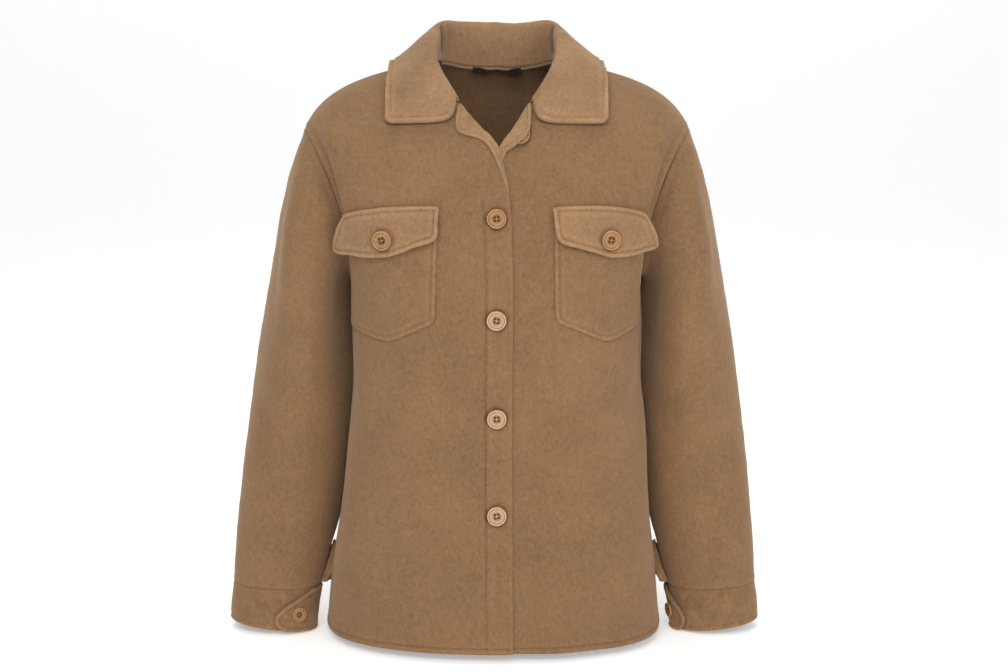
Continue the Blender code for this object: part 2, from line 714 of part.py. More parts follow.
def back_sides():
    """Outer and inner points of the whole back, across from the wearer's right to the left."""
    half = back_places()
    right, left = body("back", -1), body("back", 1)
    sides = []
    for out in (0.0, -CLOTH):
        a, b = half[..., 0], half[..., 1]
        one, other = right(a, b, out), left(a, b, out)
        middle = (one[:, :1] + other[:, :1]) / 2 * np.array([0.0, 1.0, 1.0])
        sides.append((one[:, :0:-1], middle, other[:, 1:]))
    return [np.concatenate(side, axis=1) for side in sides]


def make_back(look):
    """The back in three pieces: a yoke over the shoulders, and two halves that meet in a middle seam."""
    sides = back_sides()
    yoke = [side[YOKE_ROW:].copy() for side in sides]
    for side in yoke:
        side[0] += unit(side[1] - side[0]) * SEAM_GAP
    wall("back_yoke", *yoke, look)
    middle = sides[0].shape[1] // 2
    for sign, name, columns in (
        (-1, "back_right", slice(0, middle + 1)),
        (1, "back_left", slice(middle, None)),
    ):
        half = [side[: YOKE_ROW + 1, columns].copy() for side in sides]
        for side in half:
            side[:, -1 if sign < 0 else 0, 0] += sign * HALF_GAP
        wall(name, *half, look)


def plain_sleeve(turn, down):
    """A point of a sleeve before folds. Its inner side leans in behind the side of the body."""
    down = np.clip(down, 0.0, 1.0)
    lean = SLEEVE_LEAN * np.maximum(np.cos(turn - math.radians(LEAN_TURN)), 0.0) ** 4
    lean = lean * ease((down - 0.04) / 0.22) * ease((0.95 - down) / 0.14)
    return ring_point(SLEEVE, turn, down) - points(lean, 0.0, 0.0)


SLEEVE_RADIUS = 0.060
SLEEVE_LENGTH = 0.470


def sleeve_folds(side, turn, down):
    total = np.zeros(np.broadcast(turn, down).shape)
    for of_side, turn_a, down_a, turn_b, down_b, height, width in SLEEVE_FOLDS[1:]:
        if of_side != side:
            continue
        a = np.array([0.0, down_a * SLEEVE_LENGTH])
        b = np.array([math.radians(turn_b - turn_a) * SLEEVE_RADIUS, down_b * SLEEVE_LENGTH])
        gap = (turn - math.radians(turn_a) + math.pi) % (2 * math.pi) - math.pi
        spot = np.stack(np.broadcast_arrays(gap * SLEEVE_RADIUS, down * SLEEVE_LENGTH), axis=-1)
        away, share = from_path(a, b, spot)
        total += fold_height(away, share, height, width)
    return total * ease(np.asarray(down) / 0.10) * ease((1 - np.asarray(down)) / 0.04)


def sleeve(side):
    """The folded sleeve cloth of one side, as a function of (turn, down)."""

    def bare(turn, down):
        return to_side(plain_sleeve(turn, down) + swing(side, np.clip(down, 0.0, 1.0)), side)

    def folded(turn, down):
        height = sleeve_folds(side, turn, down)
        return bare(turn, down) + side * height[..., None] * normals(bare, turn, down)

    def skin(turn, down, out=0.0):
        turn, down = np.broadcast_arrays(np.asarray(turn, float), np.asarray(down, float))
        out = np.broadcast_to(out, turn.shape)
        return folded(turn, down) + side * out[..., None] * normals(folded, turn, down)

    return skin


def round_places(cells_round, down):
    turns = grade(cells_round, 0, 2 * math.pi)[:-1]
    return np.stack(np.meshgrid(turns, down), axis=-1)


def make_sleeves(look):
    gap = SEAM_GAP * 2 / SLEEVE_LENGTH
    places = round_places(CELLS_ROUND_SLEEVE, grade(CELLS_DOWN_SLEEVE, gap, 1.0))
    for side, name in ((-1, "sleeve_right"), (1, "sleeve_left")):
        skin = sleeve(side)
        turn, down = places[..., 0], places[..., 1]
        wall(name, skin(turn, down), skin(turn, down, -CLOTH), look, closed=True)


# Cuffs

def cuff(side):
    """The cuff of one side, as a function of (turn, down) and the distance out of its first layer."""

    def bare(turn, down):
        return to_side(ring_point(CUFF, turn, down) + swing(side, 1.0), side)

    def skin(turn, down, out=0.0):
        turn, down = np.broadcast_arrays(np.asarray(turn, float), np.asarray(down, float))
        out = np.broadcast_to(out, turn.shape)
        return bare(turn, down) + side * out[..., None] * normals(bare, turn, down)

    return skin


CUFF_HALF_HEIGHT = 0.0245
CUFF_RADIUS = 0.047


def cuff_turns(side):
    """Angles along the band, from its hidden end to the end of its tab, and the lift of each."""
    end = math.radians(TAB_END[side])
    start = end + math.radians(TAB_OVERLAP) + 2 * math.pi
    round_angle = TAB_ROUND_LENGTH / CUFF_RADIUS
    coarse = grade(CELLS_ROUND_CUFF, start, end + round_angle)
    rounding = end + round_angle * np.cos(grade(5, 0, math.pi / 2)[1:])
    turns = np.concatenate([coarse, rounding])
    lift = (CUFF_THICK + 0.0010) * ease((end + math.radians(TAB_OVERLAP + 42) - turns) / math.radians(40))
    return turns, lift


def make_cuffs(look):
    for side, name in ((-1, "cuff_right"), (1, "cuff_left")):
        turns, lift = cuff_turns(side)
        end = math.radians(TAB_END[side])
        near = np.clip((turns - end) * CUFF_RADIUS / TAB_ROUND_LENGTH, 0.0, 1.0)
        half = np.sqrt(1 - (1 - near) ** 2) * 0.46 + 0.04
        rows = np.linspace(-1, 1, 4)
        down = 0.5 + rows[:, None] * half[None, :]
        turn = np.broadcast_to(turns, down.shape)
        skin = cuff(side)
        out = np.broadcast_to(lift, down.shape)
        wall(name, skin(turn, down, out), skin(turn, down, out - CUFF_THICK), look)


def make_slit_bindings(look):
    down = grade(6, SLIT_TOP_DOWN, 0.992)
    share = (down - SLIT_TOP_DOWN) / (1 - SLIT_TOP_DOWN)
    line = SLIT_TOP_TURN + (SLIT_LOW_TURN - SLIT_TOP_TURN) * share
    width = BINDING_SPAN * (0.45 + 0.55 * ease(share * 3))
    across = grade(3, 0, 1)
    turn = np.radians(line[:, None] + width[:, None] * across)
    for side, name in ((-1, "sleeve_binding_right"), (1, "sleeve_binding_left")):
        skin = sleeve(side)
        rows = np.broadcast_to(down[:, None], turn.shape)
        out = SEAM_GAP + BINDING_THICK + 0 * turn
        wall(name, skin(turn, rows, out), skin(turn, rows, SEAM_GAP + 0 * turn), look)


# Pockets, flaps and the turned corners

def patch(top, low, cells_down):
    """Columns and rows of a patch on a front's grid, from its top edge to its pointed lower edge.

    It has a column of points on each column of the front, and the shares down each of them.
    """
    top, low = np.array(top), np.array(low)
    inner, outer = top[0, 0], top[1, 0]
    middle = np.arange(math.floor(inner) + 1, math.ceil(outer))
    middle = middle[(middle - inner > 0.2) & (outer - middle > 0.2)]
    r = (np.concatenate([[inner], middle, [outer]]) - inner) / (outer - inner)
    bend = (low[1, 0] - low[0, 0]) / (low[2, 0] - low[0, 0])
    lower = np.stack([np.interp(r, [0.0, bend, 1.0], low[:, k]) for k in (0, 1)], axis=-1)
    upper = top[0] + (top[1] - top[0]) * r[:, None]
    t = grade(cells_down, 0, 1)[:, None]
    grid = upper * (1 - t[..., None]) + lower * t[..., None]
    return grid[..., 0], grid[..., 1], r[None, :], t


def make_pockets(look):
    column, row, across, down = patch(POCKET_TOP, POCKET_LOW, 7)
    puff = POCKET_PUFF * np.sin(math.pi * across) * np.sin(math.pi * (0.25 + 0.75 * down))
    out = PATCH_GAP * (1 + 0.6 * down) + CLOTH + puff
    for side, name in ((-1, "pocket_right"), (1, "pocket_left")):
        front = on_front(side)
        wall(name, front(column, row, out), front(column, row, out - CLOTH), look)


def flap_out(down):
    """How far the outer side of a flap lies out of the front, from its seam to its lower edge."""
    over_pocket = (FLAP_LIFT + POCKET_PUFF) * ease(down / 0.34)
    return PATCH_GAP + CLOTH + over_pocket + FLAP_HANG * down**2


def make_flaps(look):
    column, row, across, down = patch(FLAP_TOP, FLAP_LOW, 6)
    out = flap_out(down) + 0 * across
    for side, name in ((-1, "flap_right"), (1, "flap_left")):
        front = on_front(side)
        wall(name, front(column, row, out), front(column, row, out - CLOTH), look)


def make_turned_corners(look):
    """The small corners of the fronts that fold outward beside the open neck."""
    share = grade(3, 0, 1)[:, None]
    for side, table, name in (
        (OVER_SIDE, OVER_CORNER, "turned_corner_right"),
        (UNDER_SIDE, UNDER_CORNER, "turned_corner_left"),
    ):
        edge = np.stack([column(table, "edge_across"), column(table, "edge_up")], axis=-1)
        free = np.stack([column(table, "free_across"), column(table, "free_up")], axis=-1)
        places = edge + (free - edge) * share[..., None]
        out = TURNED_CLEAR[side] + CLOTH + TURNED_PUFF * np.sin(math.pi * share) + 0 * places[..., 0]
        skin_wall(name, body("front", side), places, out, CLOTH, look)


# Collar, tape and label

def neck_seam(side, along):
    """Points of the neck seam on one side, from the collar's end at the front to the middle back."""
    along = np.asarray(along, float)
    front = front_neck(side)(np.clip(along / COLLAR_SHOULDER_ALONG, 0, 1))
    rest = (along - COLLAR_SHOULDER_ALONG) / (1 - COLLAR_SHOULDER_ALONG)
    back = back_neck(1 - np.clip(rest, 0, 1))
    on_front = body("front", side)(front[..., 0], front[..., 1])
    on_back = body("back", side)(back[..., 0], back[..., 1])
    return np.where((along < COLLAR_SHOULDER_ALONG)[..., None], on_front, on_back)


def collar_edge(side, along):
    """Points of the collar's free edge, held just clear of the body cloth."""
    along = np.asarray(along, float)
    tip = np.array(COLLAR_TIP)
    at_shoulder = np.array([across_at("front", COLLAR_EDGE_AT_SHOULDER, 1.0), 1.0])
    share = np.clip(along / COLLAR_SHOULDER_ALONG, 0, 1)[..., None]
    front = tip * (1 - share) + at_shoulder * share
    rest = np.clip((along - COLLAR_SHOULDER_ALONG) / (1 - COLLAR_SHOULDER_ALONG), 0, 1)
    quarter = (1 - rest) * math.pi / 2
    back = np.stack(
        [
            at_shoulder[0] * np.sin(quarter) ** 0.85,
            1 - (1 - COLLAR_EDGE_AT_BACK_UP) * np.cos(quarter) ** 0.9,
        ],
        axis=-1,
    )
    out = COLLAR_CLEAR + DOUBLE_CLOTH
    on_front = body("front", side)(front[..., 0], front[..., 1], out)
    on_back = body("back", side)(back[..., 0], back[..., 1], out)
    return np.where((along < COLLAR_SHOULDER_ALONG)[..., None], on_front, on_back)


def collar_half(side, along, cells_stand=CELLS_STAND, cells_fall=CELLS_FALL):
    """A grid of the collar's visible side: up the inside of the stand, over the fold, down the fall."""
    seam = neck_seam(side, along)
    edge = collar_edge(side, along)
    ahead = seam - np.array([0.0, -0.004, 0.0])
    outward = unit(ahead * np.array([1.0, 1.0, 0.0]))
    rise, lean, roll, full, dip = (read(COLLAR, name, along)[:, None] for name in COLLAR[0][1:])
    up = np.array([0.0, 0.0, 1.0])
    foot = seam + up * COLLAR_SEAM_LIFT - outward * CLOTH
    fold = seam + up * rise + outward * lean
    stand = bezier_rows(
        foot, foot + up * rise * 0.55 - outward * 0.001, fold - outward * roll * 0.9, fold, cells_stand
    )
    slant = unit(edge - fold)
    bulge = unit(outward + up * 0.6) * full
    sink = dip * np.array(COLLAR_DIP_WAY)
    near_edge = edge - slant * 0.35 * length_of(edge - fold) + bulge + sink * 0.35
    fall = bezier_rows(fold, fold + outward * roll * 1.2 + sink, near_edge, edge, cells_fall)
    return np.concatenate([stand, fall[1:]], axis=0)


def length_of(vectors):
    return np.linalg.norm(vectors, axis=-1, keepdims=True)


def bezier_rows(start, leave, reach, end, cells):
    return np.array([bezier(start, leave, reach, end, np.full(len(start), t)) for t in grade(cells, 0, 1)])


def grid_normals(grid):
    """Normals of a grid of points, from its own rows and columns."""
    return unit(np.cross(np.gradient(grid, axis=1), np.gradient(grid, axis=0)))


def collar_stations(cells_front, cells_back):
    """Stations of half a collar, with one of them at the shoulder seam."""
    return np.concatenate(
        [grade(cells_front, 0, COLLAR_SHOULDER_ALONG)[:-1], grade(cells_back, COLLAR_SHOULDER_ALONG, 1)]
    )


def collar_grid():
    along = collar_stations(CELLS_COLLAR_FRONT, CELLS_COLLAR_BACK)
    right = collar_half(OVER_SIDE, along)
    left = collar_half(UNDER_SIDE, along)
    middle = (right[:, -1:] + left[:, -1:]) / 2 * np.array([0.0, 1.0, 1.0])
    return np.concatenate([right[:, :-1], middle, left[:, -2::-1]], axis=1)


def make_collar(look):
    shown = collar_grid()
    facing = grid_normals(shown)
    if facing[-1, shown.shape[1] // 2][1] < 0:
        facing = -facing
    wall("collar", shown, shown - facing * DOUBLE_CLOTH, look)


def neck_strip(name, from_along, height_low, height_high, thick, gap, cells, look):
    """A strip on the inside of the back neck, over the seam, the same on both sides of the middle."""
    along = grade(cells, from_along, 1.0)
    rows = []
    for height in (height_low, height_high):
        sides = []
        for side in (OVER_SIDE, UNDER_SIDE):
            seam = neck_seam(side, along)
            outward = unit((seam + np.array([0.0, 0.004, 0.0])) * np.array([1.0, 1.0, 0.0]))
            sides.append((seam + np.array([0.0, 0.0, height]), outward))
        spots = np.concatenate([sides[0][0][:-1], sides[1][0][::-1]])
        out = np.concatenate([sides[0][1][:-1], sides[1][1][::-1]])
        rows.append((spots, out))
    hold = CLOTH + gap
    back_side = np.array([spots - out * hold for spots, out in rows])
    front_side = np.array([spots - out * (hold + thick) for spots, out in rows])
    wall(name, front_side, back_side, look)


# Buttons

def button_mesh(look):
    """A round four-hole button with a raised rim, lying on z = 0."""
    profile = [
        (0.0, BUTTON_THICK - BUTTON_DISH),
        (BUTTON_RADIUS - BUTTON_RIM, BUTTON_THICK - BUTTON_DISH),
        (BUTTON_RADIUS - BUTTON_RIM * 0.72, BUTTON_THICK),
        (BUTTON_RADIUS - BUTTON_RIM * 0.25, BUTTON_THICK),
        (BUTTON_RADIUS, BUTTON_THICK * 0.62),
        (BUTTON_RADIUS - BUTTON_RIM * 0.3, 0.0),
        (0.0, 0.0),
    ]
    outline = bpy.data.meshes.new("button_profile")
    outline.from_pydata([(r, 0.0, z) for r, z in profile], [(k, k + 1) for k in range(len(profile) - 1)], [])
    turned = bpy.data.objects.new("button_profile", outline)
    collection("cutters").objects.link(turned)
    screw = turned.modifiers.new("turn", "SCREW")
    screw.steps = screw.render_steps = BUTTON_STEPS
    screw.use_merge_vertices = True
    screw.merge_threshold = 1e-5
    holes = bmesh.new()
    for k in range(4):
        spot = Vector((BUTTON_HOLE_OFFSET * (1, 1, -1, -1)[k], BUTTON_HOLE_OFFSET * (1, -1, 1, -1)[k], 0.0))
        bmesh.ops.create_cone(
            holes,
            cap_ends=True,
            segments=6,
            radius1=BUTTON_HOLE_RADIUS,
            radius2=BUTTON_HOLE_RADIUS,
            depth=4 * BUTTON_THICK,
            matrix=Matrix.Translation(spot),
        )
    drill_mesh = bpy.data.meshes.new("button_holes")
    holes.to_mesh(drill_mesh)
    holes.free()
    drill = bpy.data.objects.new("button_holes", drill_mesh)
    collection("cutters").objects.link(drill)
    cut = turned.modifiers.new("holes", "BOOLEAN")
    cut.object = drill
    cut.solver = "EXACT"
    bpy.context.view_layer.update()
    made = bpy.data.meshes.new_from_object(turned.evaluated_get(bpy.context.evaluated_depsgraph_get()))
    made.name = "button"
    made.materials.clear()
    made.materials.append(look)
    bpy.data.objects.remove(turned)
    bpy.data.objects.remove(drill)
    made.shade_smooth()
    made.set_sharp_from_angle(angle=math.radians(35))
    return made


def seat(name, mesh, spot, facing, look):
    """Places a button with its back just off a spot of cloth, facing out of it."""
    made = add_object(name, mesh, look)
    facing = Vector(facing).normalized()
    made.rotation_mode = "QUATERNION"
    made.rotation_quaternion = facing.to_track_quat("Z", "Y")
    made.location = Vector(spot) + facing * SEAM_GAP
    return made


def cloth_seat(skin, place, out):
    """A spot on a cloth surface, a given distance out, and the way that it faces."""
    at = np.array([place[0]]), np.array([place[1]])
    spot = skin(*at, out)[0]
    return spot, skin(*at, out + 0.01)[0] - spot


def make_buttons(look):
    mesh = button_mesh(look)
    over = body("front", OVER_SIDE)
    for k in range(FRONT_BUTTON_COUNT):
        place = place_at(0.0, FRONT_BUTTON_TOP - k * FRONT_BUTTON_PITCH)
        seat(f"button_front_{k + 1}", mesh, *cloth_seat(over, place, 0.0001), look)
    seat("button_neck", mesh, *cloth_seat(body("front", UNDER_SIDE), FREE_BUTTON, 0.0), look)
    out = float(flap_out(np.array([0.72]))[0]) - 0.0006
    for side, name in ((-1, "button_pocket_right"), (1, "button_pocket_left")):
        seat(name, mesh, *cloth_seat(body("front", side), FLAP_BUTTON, out), look)
    for side, name in ((-1, "button_cuff_right"), (1, "button_cuff_left")):
        place = (math.radians(TAB_END[side] + TAB_BUTTON_BEHIND), 0.56)
        seat(name, mesh, *cloth_seat(cuff(side), place, CUFF_THICK + 0.0011), look)


def main():
    for item in list(bpy.data.objects):
        bpy.data.objects.remove(item)
    cloth = material("brushed_cloth", CLOTH_COLOUR, 0.95)
    make_fronts(cloth)
    make_back(cloth)
    make_sleeves(cloth)
    make_cuffs(cloth)
    make_slit_bindings(cloth)
    make_pockets(cloth)
    make_flaps(cloth)
    make_turned_corners(cloth)
    make_collar(cloth)
    tape = material("neck_tape", TAPE_COLOUR, 0.9)
    neck_strip("neck_tape", 0.62, -TAPE_WIDTH, 0.0022, TAPE_THICK, SEAM_GAP * 2, 8, tape)
    plain = material("neck_label", LABEL_COLOUR, 0.6)
    neck_strip("neck_label", 0.85, -LABEL_HEIGHT, -0.0010, LABEL_THICK, SEAM_GAP * 3 + TAPE_THICK, 5, plain)
    make_buttons(material("button", BUTTON_COLOUR, 0.35))


main()
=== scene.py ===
"""Looks of a hip-length shirt coat in thick brushed cloth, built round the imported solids.

Metres, +Z up. The front faces -Y and the wearer's left is +X. The cloth lies on the same surfaces as
the solids: a front and a back, each a stack of curved rows, and rings for the sleeves and cuffs. A place
on the body cloth is (across, up): across is 0 at the middle and 1 at the side, up is -1 at the hem, 0 at
the underarm and 1 at the shoulder seam. A place on a sleeve is (turn, down): turn is the angle round the
ring from its outer side by way of the front, down is 0 at the armhole and 1 at the cuff seam.
"""

import json
import math

import bpy
import numpy as np
from mathutils import Matrix, Vector

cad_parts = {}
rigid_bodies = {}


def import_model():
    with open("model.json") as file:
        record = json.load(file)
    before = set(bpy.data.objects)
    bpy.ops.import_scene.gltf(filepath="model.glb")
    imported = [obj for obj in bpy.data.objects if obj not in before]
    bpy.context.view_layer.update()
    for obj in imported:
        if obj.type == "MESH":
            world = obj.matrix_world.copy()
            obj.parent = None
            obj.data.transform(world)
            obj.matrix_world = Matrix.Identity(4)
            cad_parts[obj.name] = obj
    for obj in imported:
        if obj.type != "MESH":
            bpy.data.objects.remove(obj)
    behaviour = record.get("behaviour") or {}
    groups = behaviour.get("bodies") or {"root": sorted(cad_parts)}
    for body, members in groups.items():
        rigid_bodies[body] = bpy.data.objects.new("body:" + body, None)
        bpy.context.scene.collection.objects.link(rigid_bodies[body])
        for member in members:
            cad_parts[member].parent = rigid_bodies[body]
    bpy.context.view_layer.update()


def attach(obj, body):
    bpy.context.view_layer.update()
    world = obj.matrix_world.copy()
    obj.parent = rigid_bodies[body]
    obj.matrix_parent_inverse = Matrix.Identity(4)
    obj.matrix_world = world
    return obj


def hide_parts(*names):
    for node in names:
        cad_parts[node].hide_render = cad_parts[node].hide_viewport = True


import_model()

# Numbers with no unit named are metres, places (across, up) or (turn, down), or turns in degrees.

# Cloth and seams
CLOTH = 0.0024
DOUBLE_CLOTH = 0.0042
PATCH_GAP = 0.0008

# Side of the body that lies on top at the front, and the one under it, as signs of x
OVER_SIDE = -1
UNDER_SIDE = 1
SIDE_NAMES = {-1: "right", 1: "left"}
UNDER_TUCK = CLOTH + 0.0012
TUCK_FROM, TUCK_TO = 0.022, 0.062
TUCK_UP_TO, TUCK_FADE = 0.62, 0.20

# Neck
NECK_HALF_WIDTH = 0.072
BACK_NECK_UP = 0.83
NECK_ROUNDING = 0.03

# The body cloth: its side seam, and a row for each height of the front and the back
SIDE = (
    ("up", "x", "y", "z"),
    (-1.00, 0.2040, 0.000, -0.6850),
    (-0.83, 0.1965, -0.006, -0.6080),
    (-0.66, 0.1860, -0.013, -0.5340),
    (-0.47, 0.1785, -0.018, -0.4520),
    (-0.28, 0.1720, -0.020, -0.3720),
    (-0.14, 0.1730, -0.015, -0.3110),
    (0.00, 0.1700, -0.004, -0.2512),
)
FRONT = (
    ("up", "y", "z", "slope", "inner", "outer", "run_x", "run_y", "run_z"),
    (-1.00, -0.1430, -0.6840, 0.00, 0.136, 0.094, 0.00, 1.00, 0.00),
    (-0.83, -0.1400, -0.6080, 0.00, 0.128, 0.090, 0.00, 1.00, 0.00),
    (-0.66, -0.1360, -0.5340, 0.00, 0.121, 0.084, 0.00, 1.00, 0.00),
    (-0.47, -0.1325, -0.4530, 0.00, 0.115, 0.080, 0.00, 1.00, 0.00),
    (-0.28, -0.1330, -0.3710, 0.00, 0.112, 0.080, 0.00, 1.00, 0.00),
    (-0.14, -0.1355, -0.3100, 0.00, 0.113, 0.082, 0.00, 1.00, 0.00),
    (0.00, -0.1350, -0.2500, 0.00, 0.114, 0.082, -0.05, 1.00, 0.00),
    (0.20, -0.1290, -0.2030, -0.02, 0.117, 0.074, -0.14, 1.00, -0.02),
    (0.40, -0.1180, -0.1530, -0.04, 0.128, 0.060, -0.02, 1.00, -0.08),
    (0.60, -0.1010, -0.0990, -0.06, 0.133, 0.054, 0.25, 0.90, -0.30),
    (0.75, -0.0790, -0.0550, -0.07, 0.139, 0.053, 0.38, 0.55, -0.72),
    (0.90, -0.0370, -0.0090, -0.10, 0.147, 0.054, 0.42, 0.20, -0.88),
    (1.00, 0.0000, 0.0080, -0.10, 0.150, 0.054, 0.42, 0.00, -0.90),
)
BACK = (
    ("up", "y", "z", "slope", "inner", "outer", "run_x", "run_y", "run_z"),
    (-1.00, 0.1430, -0.6840, 0.00, 0.128, 0.092, 0.00, -1.00, 0.00),
    (-0.83, 0.1390, -0.6070, 0.00, 0.120, 0.088, 0.00, -1.00, 0.00),
    (-0.66, 0.1320, -0.5330, 0.00, 0.110, 0.084, 0.00, -1.00, 0.00),
    (-0.47, 0.1240, -0.4520, 0.00, 0.102, 0.078, 0.00, -1.00, 0.00),
    (-0.28, 0.1190, -0.3710, 0.00, 0.098, 0.074, 0.00, -1.00, 0.00),
    (-0.14, 0.1200, -0.3110, 0.00, 0.100, 0.075, 0.00, -1.00, 0.00),
    (0.00, 0.1240, -0.2500, 0.00, 0.104, 0.074, 0.00, -1.00, 0.00),
    (0.20, 0.1240, -0.1980, 0.00, 0.110, 0.066, 0.02, -1.00, -0.05),
    (0.40, 0.1180, -0.1430, -0.02, 0.122, 0.056, 0.12, -0.95, -0.15),
    (0.60, 0.1040, -0.0820, -0.05, 0.132, 0.052, 0.35, -0.85, -0.38),
    (0.75, 0.0840, -0.0320, -0.07, 0.138, 0.053, 0.42, -0.55, -0.70),
    (0.90, 0.0460, 0.0010, -0.10, 0.147, 0.054, 0.42, -0.20, -0.88),
    (1.00, 0.0000, 0.0080, -0.10, 0.150, 0.054, 0.42, 0.00, -0.90),
)

# Rings of a sleeve and a cuff, for the wearer's left
SLEEVE = (
    ("down", "outer_x", "outer_z", "inner_x", "inner_z", "y", "front", "back", "hollow_f", "hollow_b"),
    (0.00, 0.2265, -0.0780, 0.1700, -0.2512, -0.004, 0.057, 0.078, 0.014, 0.008),
    (0.10, 0.2412, -0.1180, 0.1752, -0.2610, 0.002, 0.071, 0.080, 0.004, 0.003),
    (0.22, 0.2545, -0.1680, 0.1775, -0.2790, 0.010, 0.078, 0.078, 0.000, 0.000),
    (0.36, 0.2685, -0.2380, 0.1765, -0.3100, 0.019, 0.078, 0.072, 0.000, 0.000),
    (0.52, 0.2850, -0.3250, 0.1745, -0.3700, 0.025, 0.072, 0.064, 0.000, 0.000),
    (0.68, 0.2990, -0.4200, 0.1790, -0.4430, 0.024, 0.064, 0.058, 0.000, 0.000),
    (0.82, 0.3105, -0.5050, 0.1885, -0.5160, 0.018, 0.056, 0.052, 0.000, 0.000),
    (0.92, 0.3175, -0.5750, 0.1985, -0.5830, 0.011, 0.048, 0.046, 0.000, 0.000),
    (1.00, 0.3205, -0.6350, 0.2135, -0.6400, 0.006, 0.039, 0.039, 0.000, 0.000),
)
CUFF = (
    ("down", "outer_x", "outer_z", "inner_x", "inner_z", "y", "front", "back", "hollow_f", "hollow_b"),
    (0.00, 0.3206, -0.6356, 0.2140, -0.6406, 0.006, 0.0394, 0.0394, 0.0, 0.0),
    (0.50, 0.3240, -0.6590, 0.2185, -0.6670, 0.005, 0.0405, 0.0405, 0.0, 0.0),
    (1.00, 0.3248, -0.6820, 0.2215, -0.6940, 0.004, 0.0395, 0.0395, 0.0, 0.0),
)

# Front edges from the top button to the collar, on the side that laps over and on the side under it
OVER_EDGE = (
    ("across", "up"),
    (-0.048, 0.300),
    (-0.044, 0.365),
    (-0.039, 0.420),
    (-0.028, 0.490),
    (-0.013, 0.560),
    (0.001, 0.612),
    (0.020, 0.654),
    (0.044, 0.686),
    (0.070, 0.722),
    (0.095, 0.765),
    (0.113, 0.792),
)
UNDER_EDGE = (
    ("across", "up"),
    (-0.048, 0.300),
    (-0.040, 0.395),
    (-0.024, 0.500),
    (-0.007, 0.575),
    (0.012, 0.622),
    (0.037, 0.667),
    (0.060, 0.712),
    (0.081, 0.756),
    (0.101, 0.788),
)
PLACKET_OVERLAP = 0.0195

# How the sleeves lean in behind the body, and how the sleeves and sides hang unevenly
SLEEVE_LEAN = 0.017
LEAN_TURN = 220.0
LEAN_FROM, LEAN_GROWS = 0.04, 0.22
LEAN_TO, LEAN_FADES = 0.95, 0.14
SLEEVE_SWING = {-1: 0.0035, 1: -0.0035}
BODY_SWING = {-1: 0.0050, 1: -0.0050}
BODY_SWING_FROM = 0.30

# Folds, each along a path from a to b; a negative height is a trough
BODY_FOLDS = (
    ("cloth", "side", "across_a", "up_a", "across_b", "up_b", "height", "width"),
    ("front", 1, 1.00, -0.20, 0.72, -0.34, -0.0045, 0.026),
    ("front", 1, 0.98, -0.32, 0.80, -0.62, 0.0030, 0.022),
    ("front", -1, 1.00, -0.24, 0.78, -0.40, -0.0030, 0.022),
    ("front", -1, 0.70, -0.28, 0.74, -1.10, 0.0030, 0.030),
    ("front", -1, 0.44, -0.40, 0.40, -1.10, -0.0022, 0.032),
    ("front", 1, 0.60, -0.34, 0.66, -1.10, 0.0026, 0.032),
    ("front", 1, 0.34, -0.45, 0.32, -1.10, -0.0020, 0.032),
    ("front", 1, 0.96, 0.92, 0.84, 0.42, -0.0042, 0.011),
    ("front", -1, 0.97, 0.92, 0.86, 0.42, -0.0046, 0.011),
    ("front", 1, 0.74, 0.86, 0.80, 0.40, 0.0034, 0.015),
    ("front", -1, 0.75, 0.88, 0.82, 0.40, 0.0036, 0.015),
    ("front", 1, 0.94, 0.42, 0.94, -0.18, -0.0052, 0.012),
    ("front", -1, 0.95, 0.42, 0.95, -0.20, -0.0056, 0.012),
    ("back", -1, 0.50, 0.10, 0.56, -1.10, 0.0045, 0.030),
    ("back", 1, 0.46, 0.16, 0.60, -1.10, 0.0050, 0.028),
    ("back", -1, 0.20, -0.20, 0.16, -1.10, -0.0040, 0.030),
    ("back", 1, 0.22, -0.30, 0.26, -1.10, -0.0035, 0.028),
    ("back", 1, 0.92, 0.22, 0.62, 0.02, 0.0035, 0.014),
    ("back", -1, 0.94, 0.26, 0.64, -0.02, 0.0030, 0.015),
)
SLEEVE_FOLDS = (
    ("side", "turn_a", "down_a", "turn_b", "down_b", "height", "width"),
    (-1, 60, -0.04, 80, 0.58, 0.0165, 0.034),
    (1, 62, -0.04, 82, 0.56, 0.0170, 0.034),
    (-1, 150, 0.00, 150, 0.62, -0.0095, 0.028),
    (1, 150, 0.00, 150, 0.58, -0.0100, 0.028),
    (-1, 36, 0.10, 52, 0.48, -0.0024, 0.013),
    (1, 40, 0.08, 54, 0.42, -0.0026, 0.013),
    (-1, 96, 0.34, 104, 0.78, 0.0022, 0.012),
    (1, 98, 0.36, 102, 0.74, 0.0024, 0.012),
    (-1, 80, 0.55, 118, 0.66, -0.0030, 0.014),
    (1, 74, 0.50, 112, 0.63, -0.0030, 0.014),
    (-1, 88, 0.80, 98, 0.99, -0.0030, 0.010),
    (1, 84, 0.82, 92, 0.99, -0.0028, 0.010),
    (-1, 300, 0.12, 318, 0.50, 0.0040, 0.018),
    (1, 296, 0.10, 312, 0.46, 0.0045, 0.018),
    (-1, 255, 0.52, 226, 0.64, -0.0040, 0.014),
    (1, 252, 0.50, 222, 0.60, -0.0040, 0.014),
)

# Corners of the patches as places (across, up): inner low, tip, outer low, outer top, inner top
POCKET_CORNERS = {
    -1: ((0.232, -0.098), (0.465, -0.155), (0.880, -0.126), (0.800, 0.300), (0.208, 0.300)),
    1: ((0.219, -0.095), (0.481, -0.156), (0.800, -0.112), (0.750, 0.300), (0.202, 0.300)),
}
FLAP_CORNERS = {
    -1: ((0.203, 0.238), (0.449, 0.187), (0.880, 0.285), (0.796, 0.450), (0.192, 0.395)),
    1: ((0.210, 0.228), (0.474, 0.189), (0.860, 0.312), (0.743, 0.448), (0.184, 0.390)),
}
